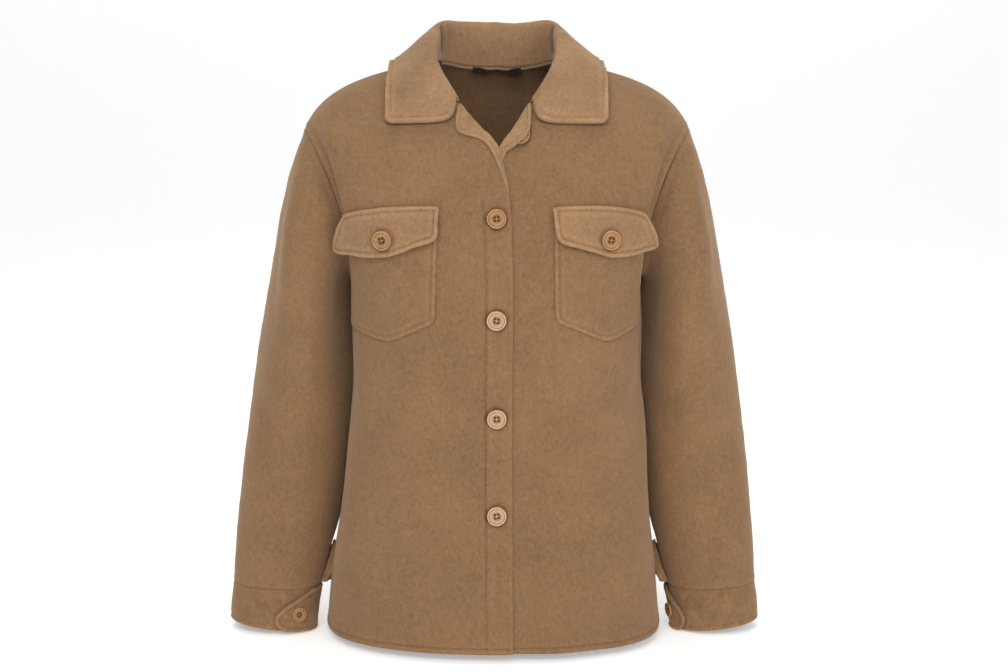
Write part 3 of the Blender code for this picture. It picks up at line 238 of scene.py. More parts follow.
# How far a flap's top bows up, and how far its outer end stands off the sleeve's side
FLAP_BOW = {-1: 0.011, 1: 0.017}
FLAP_REACH = {-1: 0.0075, 1: 0.0040}
FLAP_LIFT = 0.0032
FLAP_HANG = 0.0030
POCKET_PUFF = 0.0020
FLAP_BUTTON = (0.457, 0.283)
FLAP_BUTTON_DOWN = 0.72
FLAP_CLEARS_POCKET = 0.34
FLAP_WAVE = 0.0008
FLAP_REACH_FROM, FLAP_REACH_OVER, FLAP_REACH_DOWN = 0.72, 0.28, 0.8

# Collar, a row for each share of the way from its end at the front to the middle of the back
COLLAR = (
    ("along", "rise", "lean", "roll", "fullness", "dip"),
    (0.00, 0.0060, 0.0020, 0.0040, 0.0010, 0.0360),
    (0.12, 0.0140, 0.0035, 0.0080, 0.0024, 0.0200),
    (0.28, 0.0240, 0.0035, 0.0090, 0.0026, 0.0040),
    (0.45, 0.0340, 0.0030, 0.0100, -0.0030, 0.0000),
    (0.65, 0.0505, 0.0035, 0.0125, -0.0010, 0.0000),
    (0.82, 0.0540, 0.0050, 0.0120, 0.0030, 0.0000),
    (1.00, 0.0545, 0.0060, 0.0110, 0.0060, 0.0000),
)
COLLAR_SHOULDER_ALONG = 0.45
COLLAR_TIP = (0.400, 0.728)
COLLAR_EDGE_AT_SHOULDER = 0.1250
COLLAR_EDGE_AT_BACK_UP = 0.70
COLLAR_CLEAR = 0.0050
COLLAR_SEAM_LIFT = 0.0012
COLLAR_DIP_WAY = (0.0, -0.62, -0.78)
COLLAR_TIP_ROUND = 0.0090

# Corners of the fronts that are turned back
TURNED_CLEAR = {-1: 0.0006, 1: 0.0041}
OVER_CORNER = (
    ("edge_across", "edge_up", "free_across", "free_up"),
    (0.109, 0.784, 0.118, 0.768),
    (0.098, 0.768, 0.125, 0.716),
    (0.084, 0.745, 0.119, 0.687),
    (0.062, 0.710, 0.096, 0.671),
    (0.044, 0.685, 0.068, 0.659),
    (0.026, 0.662, 0.046, 0.646),
    (0.010, 0.635, 0.026, 0.622),
    (-0.004, 0.595, 0.010, 0.584),
    (-0.013, 0.560, 0.000, 0.551),
    (-0.022, 0.519, -0.012, 0.513),
    (-0.030, 0.478, -0.023, 0.475),
    (-0.037, 0.432, -0.034, 0.431),
)
UNDER_CORNER = (
    ("edge_across", "edge_up", "free_across", "free_up"),
    (0.097, 0.781, 0.101, 0.768),
    (0.090, 0.768, 0.104, 0.724),
    (0.078, 0.748, 0.102, 0.690),
    (0.062, 0.716, 0.088, 0.661),
    (0.048, 0.688, 0.068, 0.640),
    (0.036, 0.664, 0.053, 0.624),
    (0.026, 0.646, 0.040, 0.612),
    (0.018, 0.632, 0.030, 0.603),
    (0.008, 0.612, 0.023, 0.580),
    (-0.003, 0.585, 0.012, 0.556),
    (-0.012, 0.555, 0.000, 0.535),
)

# Buttons
BUTTON_RADIUS = 0.0112
BUTTON_HOLE_OFFSET = 0.0019
FRONT_BUTTON_TOP = -0.1735
FRONT_BUTTON_PITCH = 0.1150
FRONT_BUTTON_COUNT = 4
FREE_BUTTON = (0.069, 0.675)
FRONT_BUTTON_LIFT = 0.0001

# Cuff closing: where the tab ends, in degrees round the cuff, and what lies behind that end
TAB_END = {-1: 95.0, 1: 135.0}
TAB_BUTTON_BEHIND = 31.0
TAB_BUTTON_DOWN = 0.56
CUFF_BUTTON_LIFT = 0.0011
TAB_OVERLAP = 62.0
TAB_POINT = 0.68
TAB_SLANT = 0.050
TAB_LOW_ROUND = 0.017
CUFF_THICK = 0.0036
SLIT_TOP_DOWN, SLIT_LOW_DOWN = 0.925, 0.992
SLIT_TOP_TURN = 176.0
SLIT_LOW_TURN = 160.0
BINDING_SPAN = 26.0
BINDING_THICK = 0.0030
BINDING_FLARE = 0.0100

# Back neck
TAPE_THICK = 0.0010
TAPE_FROM = 0.55
TAPE_HEIGHTS = (-0.0024, 0.0011)
TAPE_OFF = 0.0006
TAPE_EDGE = (0.0004, 0.0006)
LABEL_THICK = 0.0008
LABEL_FROM = 0.85
LABEL_OFF = 0.0009
LABEL_EDGE = (0.0003, 0.0005)
LABEL_LOW, LABEL_TOP, LABEL_WAVE = -0.0066, 0.0006, 0.0003
LABEL_COVERED_FROM, LABEL_COVERED_OVER = 0.89, 0.07
LABEL_COVERED_LOW, LABEL_COVERED_TOP = 0.0014, 0.0034
# Middle of the neck, which the ways out of the neck are taken from
NECK_MIDDLE = (0.0, -0.004, 0.0)

# Cells of the solids' grids, which say where the yoke, the underarm and the neck lie on these
CELLS_NECK = 6
CELLS_SHOULDER = 8
CELLS_LOWER = 13
CELLS_UPPER = 10
YOKE_ROW = CELLS_LOWER + 4

# Cells of these meshes, and the rolls, stitches and swellings along their edges
EDGE_CELL = 0.0004
BODY_CELL = 0.0042
SLEEVE_CELL = 0.0042
ROUND_SLEEVE = 90
# Lengths of the stretches that the lines of these meshes run along
NECK_STRETCH, SHOULDER_STRETCH = 0.135, 0.180
LOWER_STRETCH, UPPER_STRETCH = 0.434, 0.250
BELOW_YOKE_STRETCH, YOKE_STRETCH = 0.075, 0.160
COLLAR_STRETCH, STAND_STRETCH, FALL_STRETCH = 0.33, 0.045, 0.080
CUFF_STRETCH = 0.049
BINDING_STRETCH = 0.024
TAPE_STRETCH, LABEL_STRETCH = 0.0036, 0.0100
SEAM_DEPTH = 0.0008
SEAM_REACH = 0.0016
RAISED_UNIT = 0.001
PLACKET_STITCH = 0.031
FRONT_EDGE_STITCH = 0.0060
HEM_STITCH = 0.0072
CUFF_STITCH = 0.0056
PATCH_STITCH = 0.0055
COLLAR_STITCH = 0.0064
YOKE_STITCH = 0.0060
BINDING_STITCH = 0.0050
TURNED_STITCH = 0.0048
# For each sewn edge, how high it swells, how deep its stitches pull it in and over what width
FRONT_EDGE_SEWN = (0.0007, 0.0001)
HEM_SEWN = (0.0008, 0.0006)
YOKE_SEWN = (0.0006, 0.0006, 0.0014)
CUFF_HEM_SEWN = (0.0007, 0.0001)
TAB_SEWN = (0.0013, 0.0006, 0.0014)
BINDING_SEWN = (0.0014, 0.0009)
POCKET_SEWN = (0.0009, 0.0004, 0.0017)
FLAP_SEWN = (0.0014, 0.0006, 0.0016)
TURNED_SEWN = (0.0010, 0.0004, 0.0016)
COLLAR_SEWN = (0.0017, 0.0005, 0.0018)
# Ridges beside an edge or a button: height, distance and width
FRONT_SIDE_RIDGE = (0.0008, 0.0055, 0.0032)
BACK_SEAM_RIDGE = (0.0005, 0.0040, 0.0028)
SLEEVE_TOP_RIDGE = (0.0004, 0.0040, 0.0028)
SLEEVE_LOW_RIDGE = (0.0006, 0.0040, 0.0030)
PLACKET_GROOVE = (0.0007, 0.0, 0.0016)
BUTTON_DIMPLE = (0.0013, 0.0006, 0.0022)
PLACKET_SWELL, PLACKET_SWELL_IN, PLACKET_SWELL_WIDTH = 0.0005, 0.0050, 0.0035
PLACKET_SEWN_TO, PLACKET_SEWN_FADE = 0.34, 0.12
# Uneven waves of the cloth: wave lengths with their shares, and heights
BROAD_RIPPLES, BROAD_RIPPLE = ((0.085, 1.0), (0.050, 0.45)), 0.0010
SMALL_RIPPLES, SMALL_RIPPLE = ((0.019, 1.0),), 0.00022
STITCH_PITCH = 0.0030
STITCH_RADIUS = 0.00028
STITCH_SUNK = 0.00005
POCKET_RADII = (0.006, 0.012, 0.008, 0.003, 0.003)
FLAP_RADII = (0.009, 0.016, 0.009, 0.003, 0.003)
TURNED_ROLL = 0.0030
TURNED_ROLL_FROM, TURNED_ROLL_TO = -95, 80
TURNED_SWELL = 0.0012
COLLAR_CREASES = (
    ("along", "low", "high", "depth", "width"),
    (0.560, 0.05, 0.95, 0.0024, 0.022),
    (0.640, 0.35, 0.98, 0.0008, 0.014),
    (0.760, 0.55, 0.98, 0.0004, 0.012),
)
BUTTON_WELL = 0.0018
# Radius and height of the button's side, from the middle of its face to the middle of its underside
BUTTON_PROFILE = (
    (0.0000, 0.0018),
    (0.0038, 0.0018),
    (0.0044, 0.0020),
    (0.0049, 0.0026),
    (0.0053, 0.0030),
    (0.0058, 0.0031),
    (0.0086, 0.0029),
    (0.0090, 0.00275),
    (0.0094, 0.0029),
    (0.0099, 0.0033),
    (0.0104, 0.0034),
    (0.0109, 0.0032),
    (0.0112, 0.0026),
    (0.0112, 0.0012),
    (0.0108, 0.0004),
    (0.0100, 0.0000),
    (0.0000, 0.0000),
)
BUTTON_OFF = 0.0007
HOLE_RADIUS = 0.00150
DRILL_HALF = 0.01
# Where a button gets a painted highlight or painted shade: the highlight on its rim, the shade in the
# groove inside it, on the slope of the well and in the holes
BUTTON_RIM_FROM = 0.0097
BUTTON_GROOVE, BUTTON_GROOVE_HALF = 0.0090, 0.0003
WELL_SLOPE_FROM, WELL_SLOPE_TO = 0.0030, 0.0046
HOLES_BELOW = 0.0014
STRAND_APART = 0.00018
STRAND_SUNK = 0.0016
STRAND_RADIUS = 0.00016
STRAND_ARCH = 0.0017
CUFF_BUTTON_SIZE = 0.80

# Loose fibres: how many in all, their sizes, and how they stand, lean and droop
FIBRES = 62000
FEWEST_FIBRES = 8
FIBRE_SEED = 8
FIBRE_SUNK = 0.0002
FIBRE_STAND, FIBRE_LEAN, FIBRE_DROOP = 0.55, 0.8, 0.5
FIBRE_LENGTHS = (0.0008, 0.0021)
FIBRE_RADIUS = 0.00006

# Colours, as light off a surface in red, green and blue
CLOTH_COLOUR = (0.205, 0.114, 0.055, 1.0)
# Collar: the body cloth painted lighter, a lit copy for the light that the collar catches
COLLAR_LIT_COLOUR = (0.262, 0.154, 0.080, 1.0)
# Flaps: the body cloth painted lighter, a lit copy for the light that the flaps catch
FLAP_LIT_COLOUR = (0.258, 0.150, 0.077, 1.0)
STITCH_COLOUR = (0.150, 0.082, 0.038, 1.0)
FIBRE_COLOUR = (0.330, 0.200, 0.108, 1.0)
TAPE_COLOUR = (0.310, 0.200, 0.115, 1.0)
TAPE_DARK = (0.220, 0.135, 0.072, 1.0)
LABEL_COLOUR = (0.022, 0.014, 0.010, 1.0)
LABEL_DARK = (0.010, 0.006, 0.004, 1.0)
THREAD_COLOUR = (0.340, 0.195, 0.098, 1.0)
THREAD_DARK = (0.230, 0.125, 0.058, 1.0)
GOLDEN_BUTTON = ((0.250, 0.120, 0.042, 1.0), (0.400, 0.215, 0.090, 1.0))
PALE_BUTTON = ((0.360, 0.210, 0.110, 1.0), (0.520, 0.330, 0.195, 1.0))
WHITE = (1.0, 1.0, 1.0, 1.0)

# Floor, light and camera; each light has a name, a place, a size and a power in watts
FLOOR_Z = -0.6945
LIGHT_TARGET = (0.0, 0.0, -0.33)
WORLD_STRENGTH = 0.28
LIGHTS = (
    ("key", (-0.5, -3.2, 2.0), (2.6, 1.8), 84.0),
    ("fill", (1.6, -3.0, 0.6), (2.2, 1.8), 36.0),
    ("top", (0.0, 0.2, 2.8), (2.6, 2.0), 46.0),
)
CAMERA_LENS = 77.0
CAMERA_RISE = 10.0
CAMERA_DISTANCE = 2.6
CAMERA_TARGET = (0.0084, 0.0, -0.33)
FLOOR_GLOW = 0.33
# Half width, front, back, height and the radius where the floor bends up
STAGE = (6.5, -6.5, 4.6, 6.0, 1.2)


def column(table, name):
    """One named column of a table whose first row holds the names."""
    header = table[0]
    return np.array([row[header.index(name)] for row in table[1:]], float)


def smooth(stations, values, at):
    """Reads values between their stations along one smooth curve that passes through them all."""
    stations = np.asarray(stations, float)
    values = np.asarray(values, float)
    at = np.asarray(at, float)
    slopes = np.gradient(values, stations, axis=0)
    k = np.clip(np.searchsorted(stations, at, side="right") - 1, 0, len(stations) - 2)
    span = stations[k + 1] - stations[k]
    t = (at - stations[k]) / span
    return (
        values[k] * (2 * t**3 - 3 * t**2 + 1)
        + values[k + 1] * (3 * t**2 - 2 * t**3)
        + slopes[k] * span * (t**3 - 2 * t**2 + t)
        + slopes[k + 1] * span * (t**3 - t**2)
    )


def read(table, name, at):
    """One column of a table, read between its rows by the first column."""
    return smooth(column(table, table[0][0]), column(table, name), at)


def points(*parts):
    """Arrays of x, y and z, or of across and up, as one array of points or places."""
    return np.stack(np.broadcast_arrays(*parts), axis=-1)


def spread(a, b):
    """Two arrays of numbers in one shape."""
    return np.broadcast_arrays(np.asarray(a, float), np.asarray(b, float))


def bezier(start, leave, reach, end, t):
    """A cubic curve from start to end that leaves towards one point and arrives from the other."""
    t = np.asarray(t)[..., None]
    k = 1 - t
    return k**3 * start + 3 * k * k * t * leave + 3 * k * t * t * reach + t**3 * end


def ease(t):
    """0 below 0, 1 above 1, and smooth between."""
    t = np.clip(t, 0.0, 1.0)
    return t * t * (3 - 2 * t)


def hump(away, at, width):
    """1 at one distance, falling smoothly to 0 on both sides of it."""
    return np.exp(-(((away - at) / width) ** 2))


def unit(vectors):
    return vectors / np.maximum(np.linalg.norm(vectors, axis=-1, keepdims=True), 1e-12)


def ring_point(table, turn, down):
    """A point of a ring on the wearer's left: turn 0 is its outer side and a quarter turn its front."""
    get = {name: read(table, name, down) for name in table[0][1:]}
    c, s = np.cos(turn), np.sin(turn)
    reach = np.where(s > 0, get["front"], get["back"])
    hollow = np.where(s > 0, get["hollow_f"], get["hollow_b"])
    ends = ((get["outer_" + axis], get["inner_" + axis]) for axis in "xz")
    x, z = ((outer + inner) / 2 + c * (outer - inner) / 2 for outer, inner in ends)
    return points(x - hollow * s * s, get["y"] - s * reach, z)


def to_side(spots, side):
    """Mirrors points of the wearer's left to the given side."""
    return spots * np.array([side, 1.0, 1.0])


def swing(side, down):
    """How far a sleeve hangs out at some place down its length."""
    return points(SLEEVE_SWING[side] * np.asarray(down, float) ** 2, 0.0, 0.0)


def side_point(cloth, up):
    """Where a row of the body cloth ends: on the side seam, or above the underarm on the armhole."""
    seam = points(*(read(SIDE, name, np.minimum(up, 0.0)) for name in ("x", "y", "z")))
    half_turn = math.pi * (1 - np.clip(up, 0.0, 1.0))
    turn = half_turn if cloth == "front" else -half_turn
    armhole = ring_point(SLEEVE, turn, np.zeros_like(turn))
    return np.where((up > 0)[..., None], armhole, seam)


def side_lines():
    """For the front and the back, the line that its rows end on, and the same line made softer."""
    ups = np.linspace(-1.4, 1.4, 5601)
    found = {}
    for cloth in ("front", "back"):
        exact = side_point(cloth, ups)
        soft = sum(share * side_point(cloth, ups + gap) for gap, share in SOFTENING)
        found[cloth] = exact, np.where((np.abs(ups) < 0.7)[:, None], soft, exact)
    return ups, found


def side_near(cloth, across, up):
    """The end of a row: sharp at the underarm on the seam itself, and softer towards the middle."""
    ups, found = SIDE_LINES
    exact, soft = (points(*(np.interp(up, ups, line[:, k]) for k in range(3))) for line in found[cloth])
    return exact + (soft - exact) * ease((1 - np.abs(across)) / 0.16)[..., None]


def plain_body(cloth, across, up):
    """A point of the front or the back before folds, across on either side of the middle."""
    across, up = spread(across, up)
    table = FRONT if cloth == "front" else BACK
    get = {name: read(table, name, up) for name in table[0][1:]}
    middle = points(0 * up, get["y"], get["z"])
    side = side_near(cloth, across, up)
    leave = middle + unit(points(1.0, 0.0, get["slope"])) * get["inner"][..., None]
    reach = side - unit(points(get["run_x"], get["run_y"], get["run_z"])) * get["outer"][..., None]
    spots = bezier(middle, leave, reach, side, np.abs(across))
    sign = np.where(across < 0, -1.0, 1.0)
    return spots * points(sign, 1.0, 1.0)


SOFTENING = ((-0.18, 0.15), (-0.09, 0.22), (0.0, 0.26), (0.09, 0.22), (0.18, 0.15))
SIDE_LINES = side_lines()


def from_path(a, b, spot):
    """Distance of a spot from a straight path, and how far along the path it lies from 0 to 1."""
    a, b = np.asarray(a), np.asarray(b)
    share = np.clip(((spot - a) @ (b - a)) / np.dot(b - a, b - a), 0.0, 1.0)
    return np.linalg.norm(spot - (a + share[..., None] * (b - a)), axis=-1), share


def fold_height(away, share, height, width):
    """A soft ridge or trough that fades towards both ends of its path."""
    return height * hump(away, 0.0, width) * (0.35 + 0.65 * np.sin(math.pi * share))


SQUARE_FROM = 0.88
ROW_LENGTH = 0.255
LOWER_LENGTH = 0.425
UPPER_LENGTH = 0.210


def flat_body(across, up):
    """Roughly where a place on the body cloth lies when the cloth is laid flat, in metres."""
    height = np.where(np.asarray(up) < 0, up * LOWER_LENGTH, up * UPPER_LENGTH)
    return points(across * ROW_LENGTH, height)


def body_folds(cloth, side, across, up):
    """Height of all the folds on one side of the front or the back."""
    total = np.zeros(np.broadcast(across, up).shape)
    spot = flat_body(across, up)
    for name, of_side, across_a, up_a, across_b, up_b, height, width in BODY_FOLDS[1:]:
        if name != cloth or of_side != side:
            continue
        away, share = from_path(flat_body(across_a, up_a), flat_body(across_b, up_b), spot)
        total += fold_height(away, share, height, width)
    return total * ease((1 - np.asarray(across)) / 0.08) * ease((1 - np.asarray(up)) / 0.08)


def normals(surface, a, b, step=1e-3):
    """Outward normals of a surface of two parameters, from short steps along both."""
    along_a = surface(a + step, b) - surface(a - step, b)
    along_b = surface(a, b + step) - surface(a, b - step)
    return unit(np.cross(along_a, along_b))


def moved_out(surface, sign):
    """A surface with a third parameter, the distance out of it."""

    def skin(a, b, out=0.0):
        a, b = spread(a, b)
        out = np.broadcast_to(out, a.shape)
        return surface(a, b) + sign * out[..., None] * normals(surface, a, b)

    return skin


def body(cloth, side):
    """The folded front or back cloth on one side, as a function of (across, up)."""
    sign = side if cloth == "front" else -side

    def bare(across, up):
        hang = ease((-np.asarray(up, float) - BODY_SWING_FROM) / (1 - BODY_SWING_FROM))
        out = points(BODY_SWING[side] * hang * np.asarray(across, float) ** 2, 0.0, 0.0)
        return to_side(plain_body(cloth, across, up) + out, side)

    def folded(across, up):
        across, up = spread(across, up)
        height = body_folds(cloth, side, np.maximum(across, 0.0), up)
        if cloth == "front" and side == UNDER_SIDE:
            x = bare(across, up)[..., 0] * side
            beside = 1 - ease((x - TUCK_FROM) / (TUCK_TO - TUCK_FROM))
            height = height - UNDER_TUCK * beside * (1 - ease((up - TUCK_UP_TO) / TUCK_FADE))
        here = bare(across, up)
        calm = ease((1 - across) / 0.06) * ease((1 - up) / 0.08)
        height = height + calm * ripples(here, 1 if cloth == "front" else 2)
        return here + sign * height[..., None] * normals(bare, across, up)

    def skin(across, up, out=0.0):
        across, up = spread(across, up)
        out = np.broadcast_to(out, across.shape)
        square = 1 - ease((up - SQUARE_FROM) / (1 - SQUARE_FROM - 0.01))
        facing = unit(normals(folded, across, up) * points(1.0, square, 1.0))
        return folded(across, up) + sign * out[..., None] * facing

    return skin


def across_at(cloth, x, up):
    """The place across a row at which the cloth is x from the middle."""
    places = np.linspace(-0.4, 1.0, 281)
    return float(np.interp(x, plain_body(cloth, places, up + 0 * places)[:, 0], places))


def place_at(x, z):
    """The place on the front cloth that is seen at (x, z) from the front, for the wearer's left."""
    x, z = np.asarray(x, float), np.asarray(z, float)
    across, up = x / 0.27, 1 + (z + 0.05) / 0.2
    up = np.where(up > 0, up, up / 2)
    for _ in range(24):
        here = plain_body("front", across, up)
        by_across = (plain_body("front", across + 1e-4, up) - here) / 1e-4
        by_up = (plain_body("front", across, up + 1e-4) - here) / 1e-4
        off_x, off_z = x - here[..., 0], z - here[..., 2]
        scale = by_across[..., 0] * by_up[..., 2] - by_up[..., 0] * by_across[..., 2]
        step_across = (off_x * by_up[..., 2] - off_z * by_up[..., 0]) / scale
        step_up = (off_z * by_across[..., 0] - off_x * by_across[..., 2]) / scale
        across = across + np.clip(step_across, -0.2, 0.2)
        up = up + np.clip(step_up, -0.2, 0.2)
    return points(across, up)


def fill(left, right, bottom, top, shares_across, shares_up):
    """Places between four edges. Each edge is a function of a share from 0 to 1."""
    r, t = np.meshgrid(shares_across, shares_up)
    r1, t1 = r[..., None], t[..., None]
    corners = (
        (1 - r1) * (1 - t1) * bottom(np.zeros(1))[0]
        + r1 * (1 - t1) * bottom(np.ones(1))[0]
        + (1 - r1) * t1 * top(np.zeros(1))[0]
        + r1 * t1 * top(np.ones(1))[0]
    )
    return (
        (1 - t1) * bottom(r) + t1 * top(r) + (1 - r1) * left(t) + r1 * right(t) - corners
    )


def lengths_along(line):
    """How far along a line of points each of them lies."""
    return np.concatenate([[0.0], np.cumsum(np.linalg.norm(np.diff(line, axis=0), axis=1))])


def polyline(spots, size=None):
    """A function of a share from 0 to 1 along a list of places, laid flat or at a given size."""
    spots = np.asarray(spots, float)
    length = lengths_along(flat_body(*spots.T) if size is None else spots * size)

    def at(share):
        d = np.asarray(share) * length[-1]
        return points(*(np.interp(d, length, spots[:, k]) for k in (0, 1)))

    return at


UNDERARM_SHARE = CELLS_LOWER / (CELLS_LOWER + CELLS_UPPER)
NECK_SHARE = CELLS_NECK / (CELLS_NECK + CELLS_SHOULDER)


def finer(spots, steps=120):
    """A list of places made smooth, as many places along one curve through them all."""
    spots = np.asarray(spots, float)
    length = lengths_along(flat_body(*spots.T))
    at = np.linspace(0, length[-1], steps)
    return points(*(smooth(length, spots[:, k], at) for k in (0, 1)))


def split_edge(lower, upper):
    """An edge in two stretches that meet at the height of the underarm."""

    def at(share):
        share = np.asarray(share)
        low = lower(np.clip(share / UNDERARM_SHARE, 0, 1))
        high = upper(np.clip((share - UNDERARM_SHARE) / (1 - UNDERARM_SHARE), 0, 1))
        return np.where((share < UNDERARM_SHARE)[..., None], low, high)

    return at


def panel_places(inner_low, inner_high, neck, neck_across, across, up):
    """Places of one side of the front or the back, from its inner edge to its side seam and armhole."""
    start = inner_low(np.zeros(1))[0]
    left = split_edge(inner_low, inner_high)
    right = split_edge(polyline([(1, -1), (1, 0)]), polyline([(1, 0), (1, 1)]))
    bottom = polyline([tuple(start), (1, -1)])

    def top(share):
        share = np.asarray(share)
        on_neck = neck(np.clip(share / NECK_SHARE, 0, 1))
        r = np.clip((share - NECK_SHARE) / (1 - NECK_SHARE), 0, 1)
        on_shoulder = points(neck_across + (1 - neck_across) * r, 1.0)
        return np.where((share < NECK_SHARE)[..., None], on_neck, on_shoulder)

    return fill(left, right, bottom, top, across, up)


SHOULDER_NECK_ACROSS = across_at("front", NECK_HALF_WIDTH, 1.0)


def front_edge_places(side):
    """The upper stretch of a front edge, from underarm height to the collar."""
    table = OVER_EDGE if side == OVER_SIDE else UNDER_EDGE
    spots = [(across_at("front", -PLACKET_OVERLAP, 0.0), 0.0)]
    spots += list(zip(column(table, "across"), column(table, "up")))
    return spots


def collar_end(side):
    return np.asarray(front_edge_places(side)[-1])


def front_neck(side):
    """The neck seam of a front, from the collar's end to the shoulder seam."""
    start = collar_end(side)
    end = np.array([SHOULDER_NECK_ACROSS, 1.0])

    def at(share):
        share = np.asarray(share)[..., None]
        bow = NECK_ROUNDING * np.sin(math.pi * share) * np.array([1.0, 0.0])
        return start + (end - start) * share + bow

    return at


def back_neck(share):
    """The neck seam of the back, from its middle to the shoulder seam."""
    quarter = np.asarray(share) * math.pi / 2
    return points(SHOULDER_NECK_ACROSS * np.sin(quarter), 1 - (1 - BACK_NECK_UP) * np.cos(quarter))


def front_places(side, across, up):
    hem = (across_at("front", -PLACKET_OVERLAP, -1.0), -1.0)
    edge = front_edge_places(side)
    low = polyline([hem, edge[0]])
    high = polyline(finer(edge))
    return panel_places(low, high, front_neck(side), SHOULDER_NECK_ACROSS, across, up)


def back_places(across, up):
    low = polyline([(0.0, -1.0), (0.0, 0.0)])
    high = polyline([(0.0, 0.0), (0.0, BACK_NECK_UP)])
    return panel_places(low, high, back_neck, SHOULDER_NECK_ACROSS, across, up)


def plain_sleeve(turn, down):
    """A point of a sleeve before folds. Its inner side leans in behind the side of the body."""
    down = np.clip(down, 0.0, 1.0)
    lean = SLEEVE_LEAN * np.maximum(np.cos(turn - math.radians(LEAN_TURN)), 0.0) ** 4
    lean = lean * ease((down - LEAN_FROM) / LEAN_GROWS) * ease((LEAN_TO - down) / LEAN_FADES)
    return ring_point(SLEEVE, turn, down) - points(lean, 0.0, 0.0)


SLEEVE_RADIUS = 0.060
SLEEVE_LENGTH = 0.470


def sleeve_folds(side, turn, down):
    total = np.zeros(np.broadcast(turn, down).shape)
    for of_side, turn_a, down_a, turn_b, down_b, height, width in SLEEVE_FOLDS[1:]:
        if of_side != side:
            continue
        a = np.array([0.0, down_a * SLEEVE_LENGTH])
        b = np.array([math.radians(turn_b - turn_a) * SLEEVE_RADIUS, down_b * SLEEVE_LENGTH])
        gap = (turn - math.radians(turn_a) + math.pi) % (2 * math.pi) - math.pi
        spot = points(gap * SLEEVE_RADIUS, down * SLEEVE_LENGTH)
        away, share = from_path(a, b, spot)
        total += fold_height(away, share, height, width)
    return total * ease(np.asarray(down) / 0.06) * ease((1 - np.asarray(down)) / 0.04)


def sleeve(side):
    """The folded sleeve cloth of one side, as a function of (turn, down)."""

    def bare(turn, down):
        return to_side(plain_sleeve(turn, down) + swing(side, np.clip(down, 0.0, 1.0)), side)

    def folded(turn, down):
        here = bare(turn, down)
        calm = ease(np.asarray(down) / 0.05) * ease((1 - np.asarray(down)) / 0.04)
        height = sleeve_folds(side, turn, down) + calm * ripples(here, 3)
        return here + side * height[..., None] * normals(bare, turn, down)

    return moved_out(folded, side)


def cuff(side):
    """The cuff of one side, as a function of (turn, down) and the distance out of its first layer."""

    def bare(turn, down):
        return to_side(ring_point(CUFF, turn, down) + swing(side, 1.0), side)

    return moved_out(bare, side)


CUFF_RADIUS = 0.047


def shoulder_shares(along):
    """The share of the way that a place along the collar lies on its front part and on its back part."""
    rest = (np.asarray(along, float) - COLLAR_SHOULDER_ALONG) / (1 - COLLAR_SHOULDER_ALONG)
    return np.clip(np.asarray(along, float) / COLLAR_SHOULDER_ALONG, 0, 1), np.clip(rest, 0, 1)


def across_shoulder(side, along, front, back, out):
    """Points out of the front cloth up to the shoulder seam, and out of the back cloth beyond it."""
    on_front, on_back = (
        body(cloth, side)(places[..., 0], places[..., 1], out)
        for cloth, places in (("front", front), ("back", back))
    )
    return np.where((np.asarray(along) < COLLAR_SHOULDER_ALONG)[..., None], on_front, on_back)


def neck_seam(side, along):
    """Points of the neck seam on one side, from the collar's end at the front to the middle back."""
    on_front, on_back = shoulder_shares(along)
    return across_shoulder(side, along, front_neck(side)(on_front), back_neck(1 - on_back), 0.0)


def out_of_neck(seam):
    """The level way out of the neck at points of its seam."""
    return unit((seam - np.array(NECK_MIDDLE)) * np.array([1.0, 1.0, 0.0]))


def collar_edge(side, along):
    """Points of the collar's free edge, held just clear of the body cloth."""
    at_shoulder = np.array([across_at("front", COLLAR_EDGE_AT_SHOULDER, 1.0), 1.0])
    on_front, on_back = shoulder_shares(along)
    front = np.array(COLLAR_TIP) * (1 - on_front[..., None]) + at_shoulder * on_front[..., None]
    quarter = (1 - on_back) * math.pi / 2
    back_up = 1 - (1 - COLLAR_EDGE_AT_BACK_UP) * np.cos(quarter) ** 0.9
    back = points(at_shoulder[0] * np.sin(quarter) ** 0.85, back_up)
    return across_shoulder(side, along, front, back, COLLAR_CLEAR + DOUBLE_CLOTH)


def collar_half(side, along, stand_shares, fall_shares):
    """A grid of the collar's visible side: up the inside of the stand, over the fold, down the fall."""
    seam = neck_seam(side, along)
    edge = collar_edge(side, along)
    outward = out_of_neck(seam)
    rise, lean, roll, full, dip = (read(COLLAR, name, along)[:, None] for name in COLLAR[0][1:])
    up = np.array([0.0, 0.0, 1.0])
    foot = seam + up * COLLAR_SEAM_LIFT - outward * CLOTH
    fold = seam + up * rise + outward * lean
    stand = bezier_rows(
        foot, foot + up * rise * 0.55 - outward * 0.001, fold - outward * roll * 0.9, fold, stand_shares
    )
    slant = unit(edge - fold)
    bulge = unit(outward + up * 0.6) * full
    sink = dip * np.array(COLLAR_DIP_WAY)
    square = 1 - ease(along / 0.20)[:, None]
    pull = slant * (0.35 + 0.57 * square) * length_of(edge - fold)
    near_edge = edge - pull + bulge + sink * (0.35 + 0.53 * square)
    fall = bezier_rows(fold, fold + outward * roll * 1.2 + sink, near_edge, edge, fall_shares)
    return np.concatenate([stand, fall[1:]], axis=0)


def length_of(vectors):
    return np.linalg.norm(vectors, axis=-1, keepdims=True)


def bezier_rows(start, leave, reach, end, shares):
    return np.array([bezier(start, leave, reach, end, np.full(len(start), t)) for t in shares])


def grid_normals(grid):
    """Normals of a grid of points, from its own rows and columns."""
    return unit(np.cross(np.gradient(grid, axis=1), np.gradient(grid, axis=0)))


# Small folds and the names that the pieces go by

def wrinkle(spots, seed, waves):
    """Soft uneven waves over points in space, from -1 to 1, as cloth that has been worn has."""
    random = np.random.default_rng(seed)
    total, most = np.zeros(spots.shape[:-1]), 0.0
    for length, share in waves:
        for _ in range(7):
            way = random.normal(size=3)
            way *= 2 * math.pi / (length * random.uniform(0.75, 1.35) * np.linalg.norm(way))
            total += share * np.sin(spots @ way + random.uniform(0, 2 * math.pi))
        most += share * 7
    return 2.2 * total / most


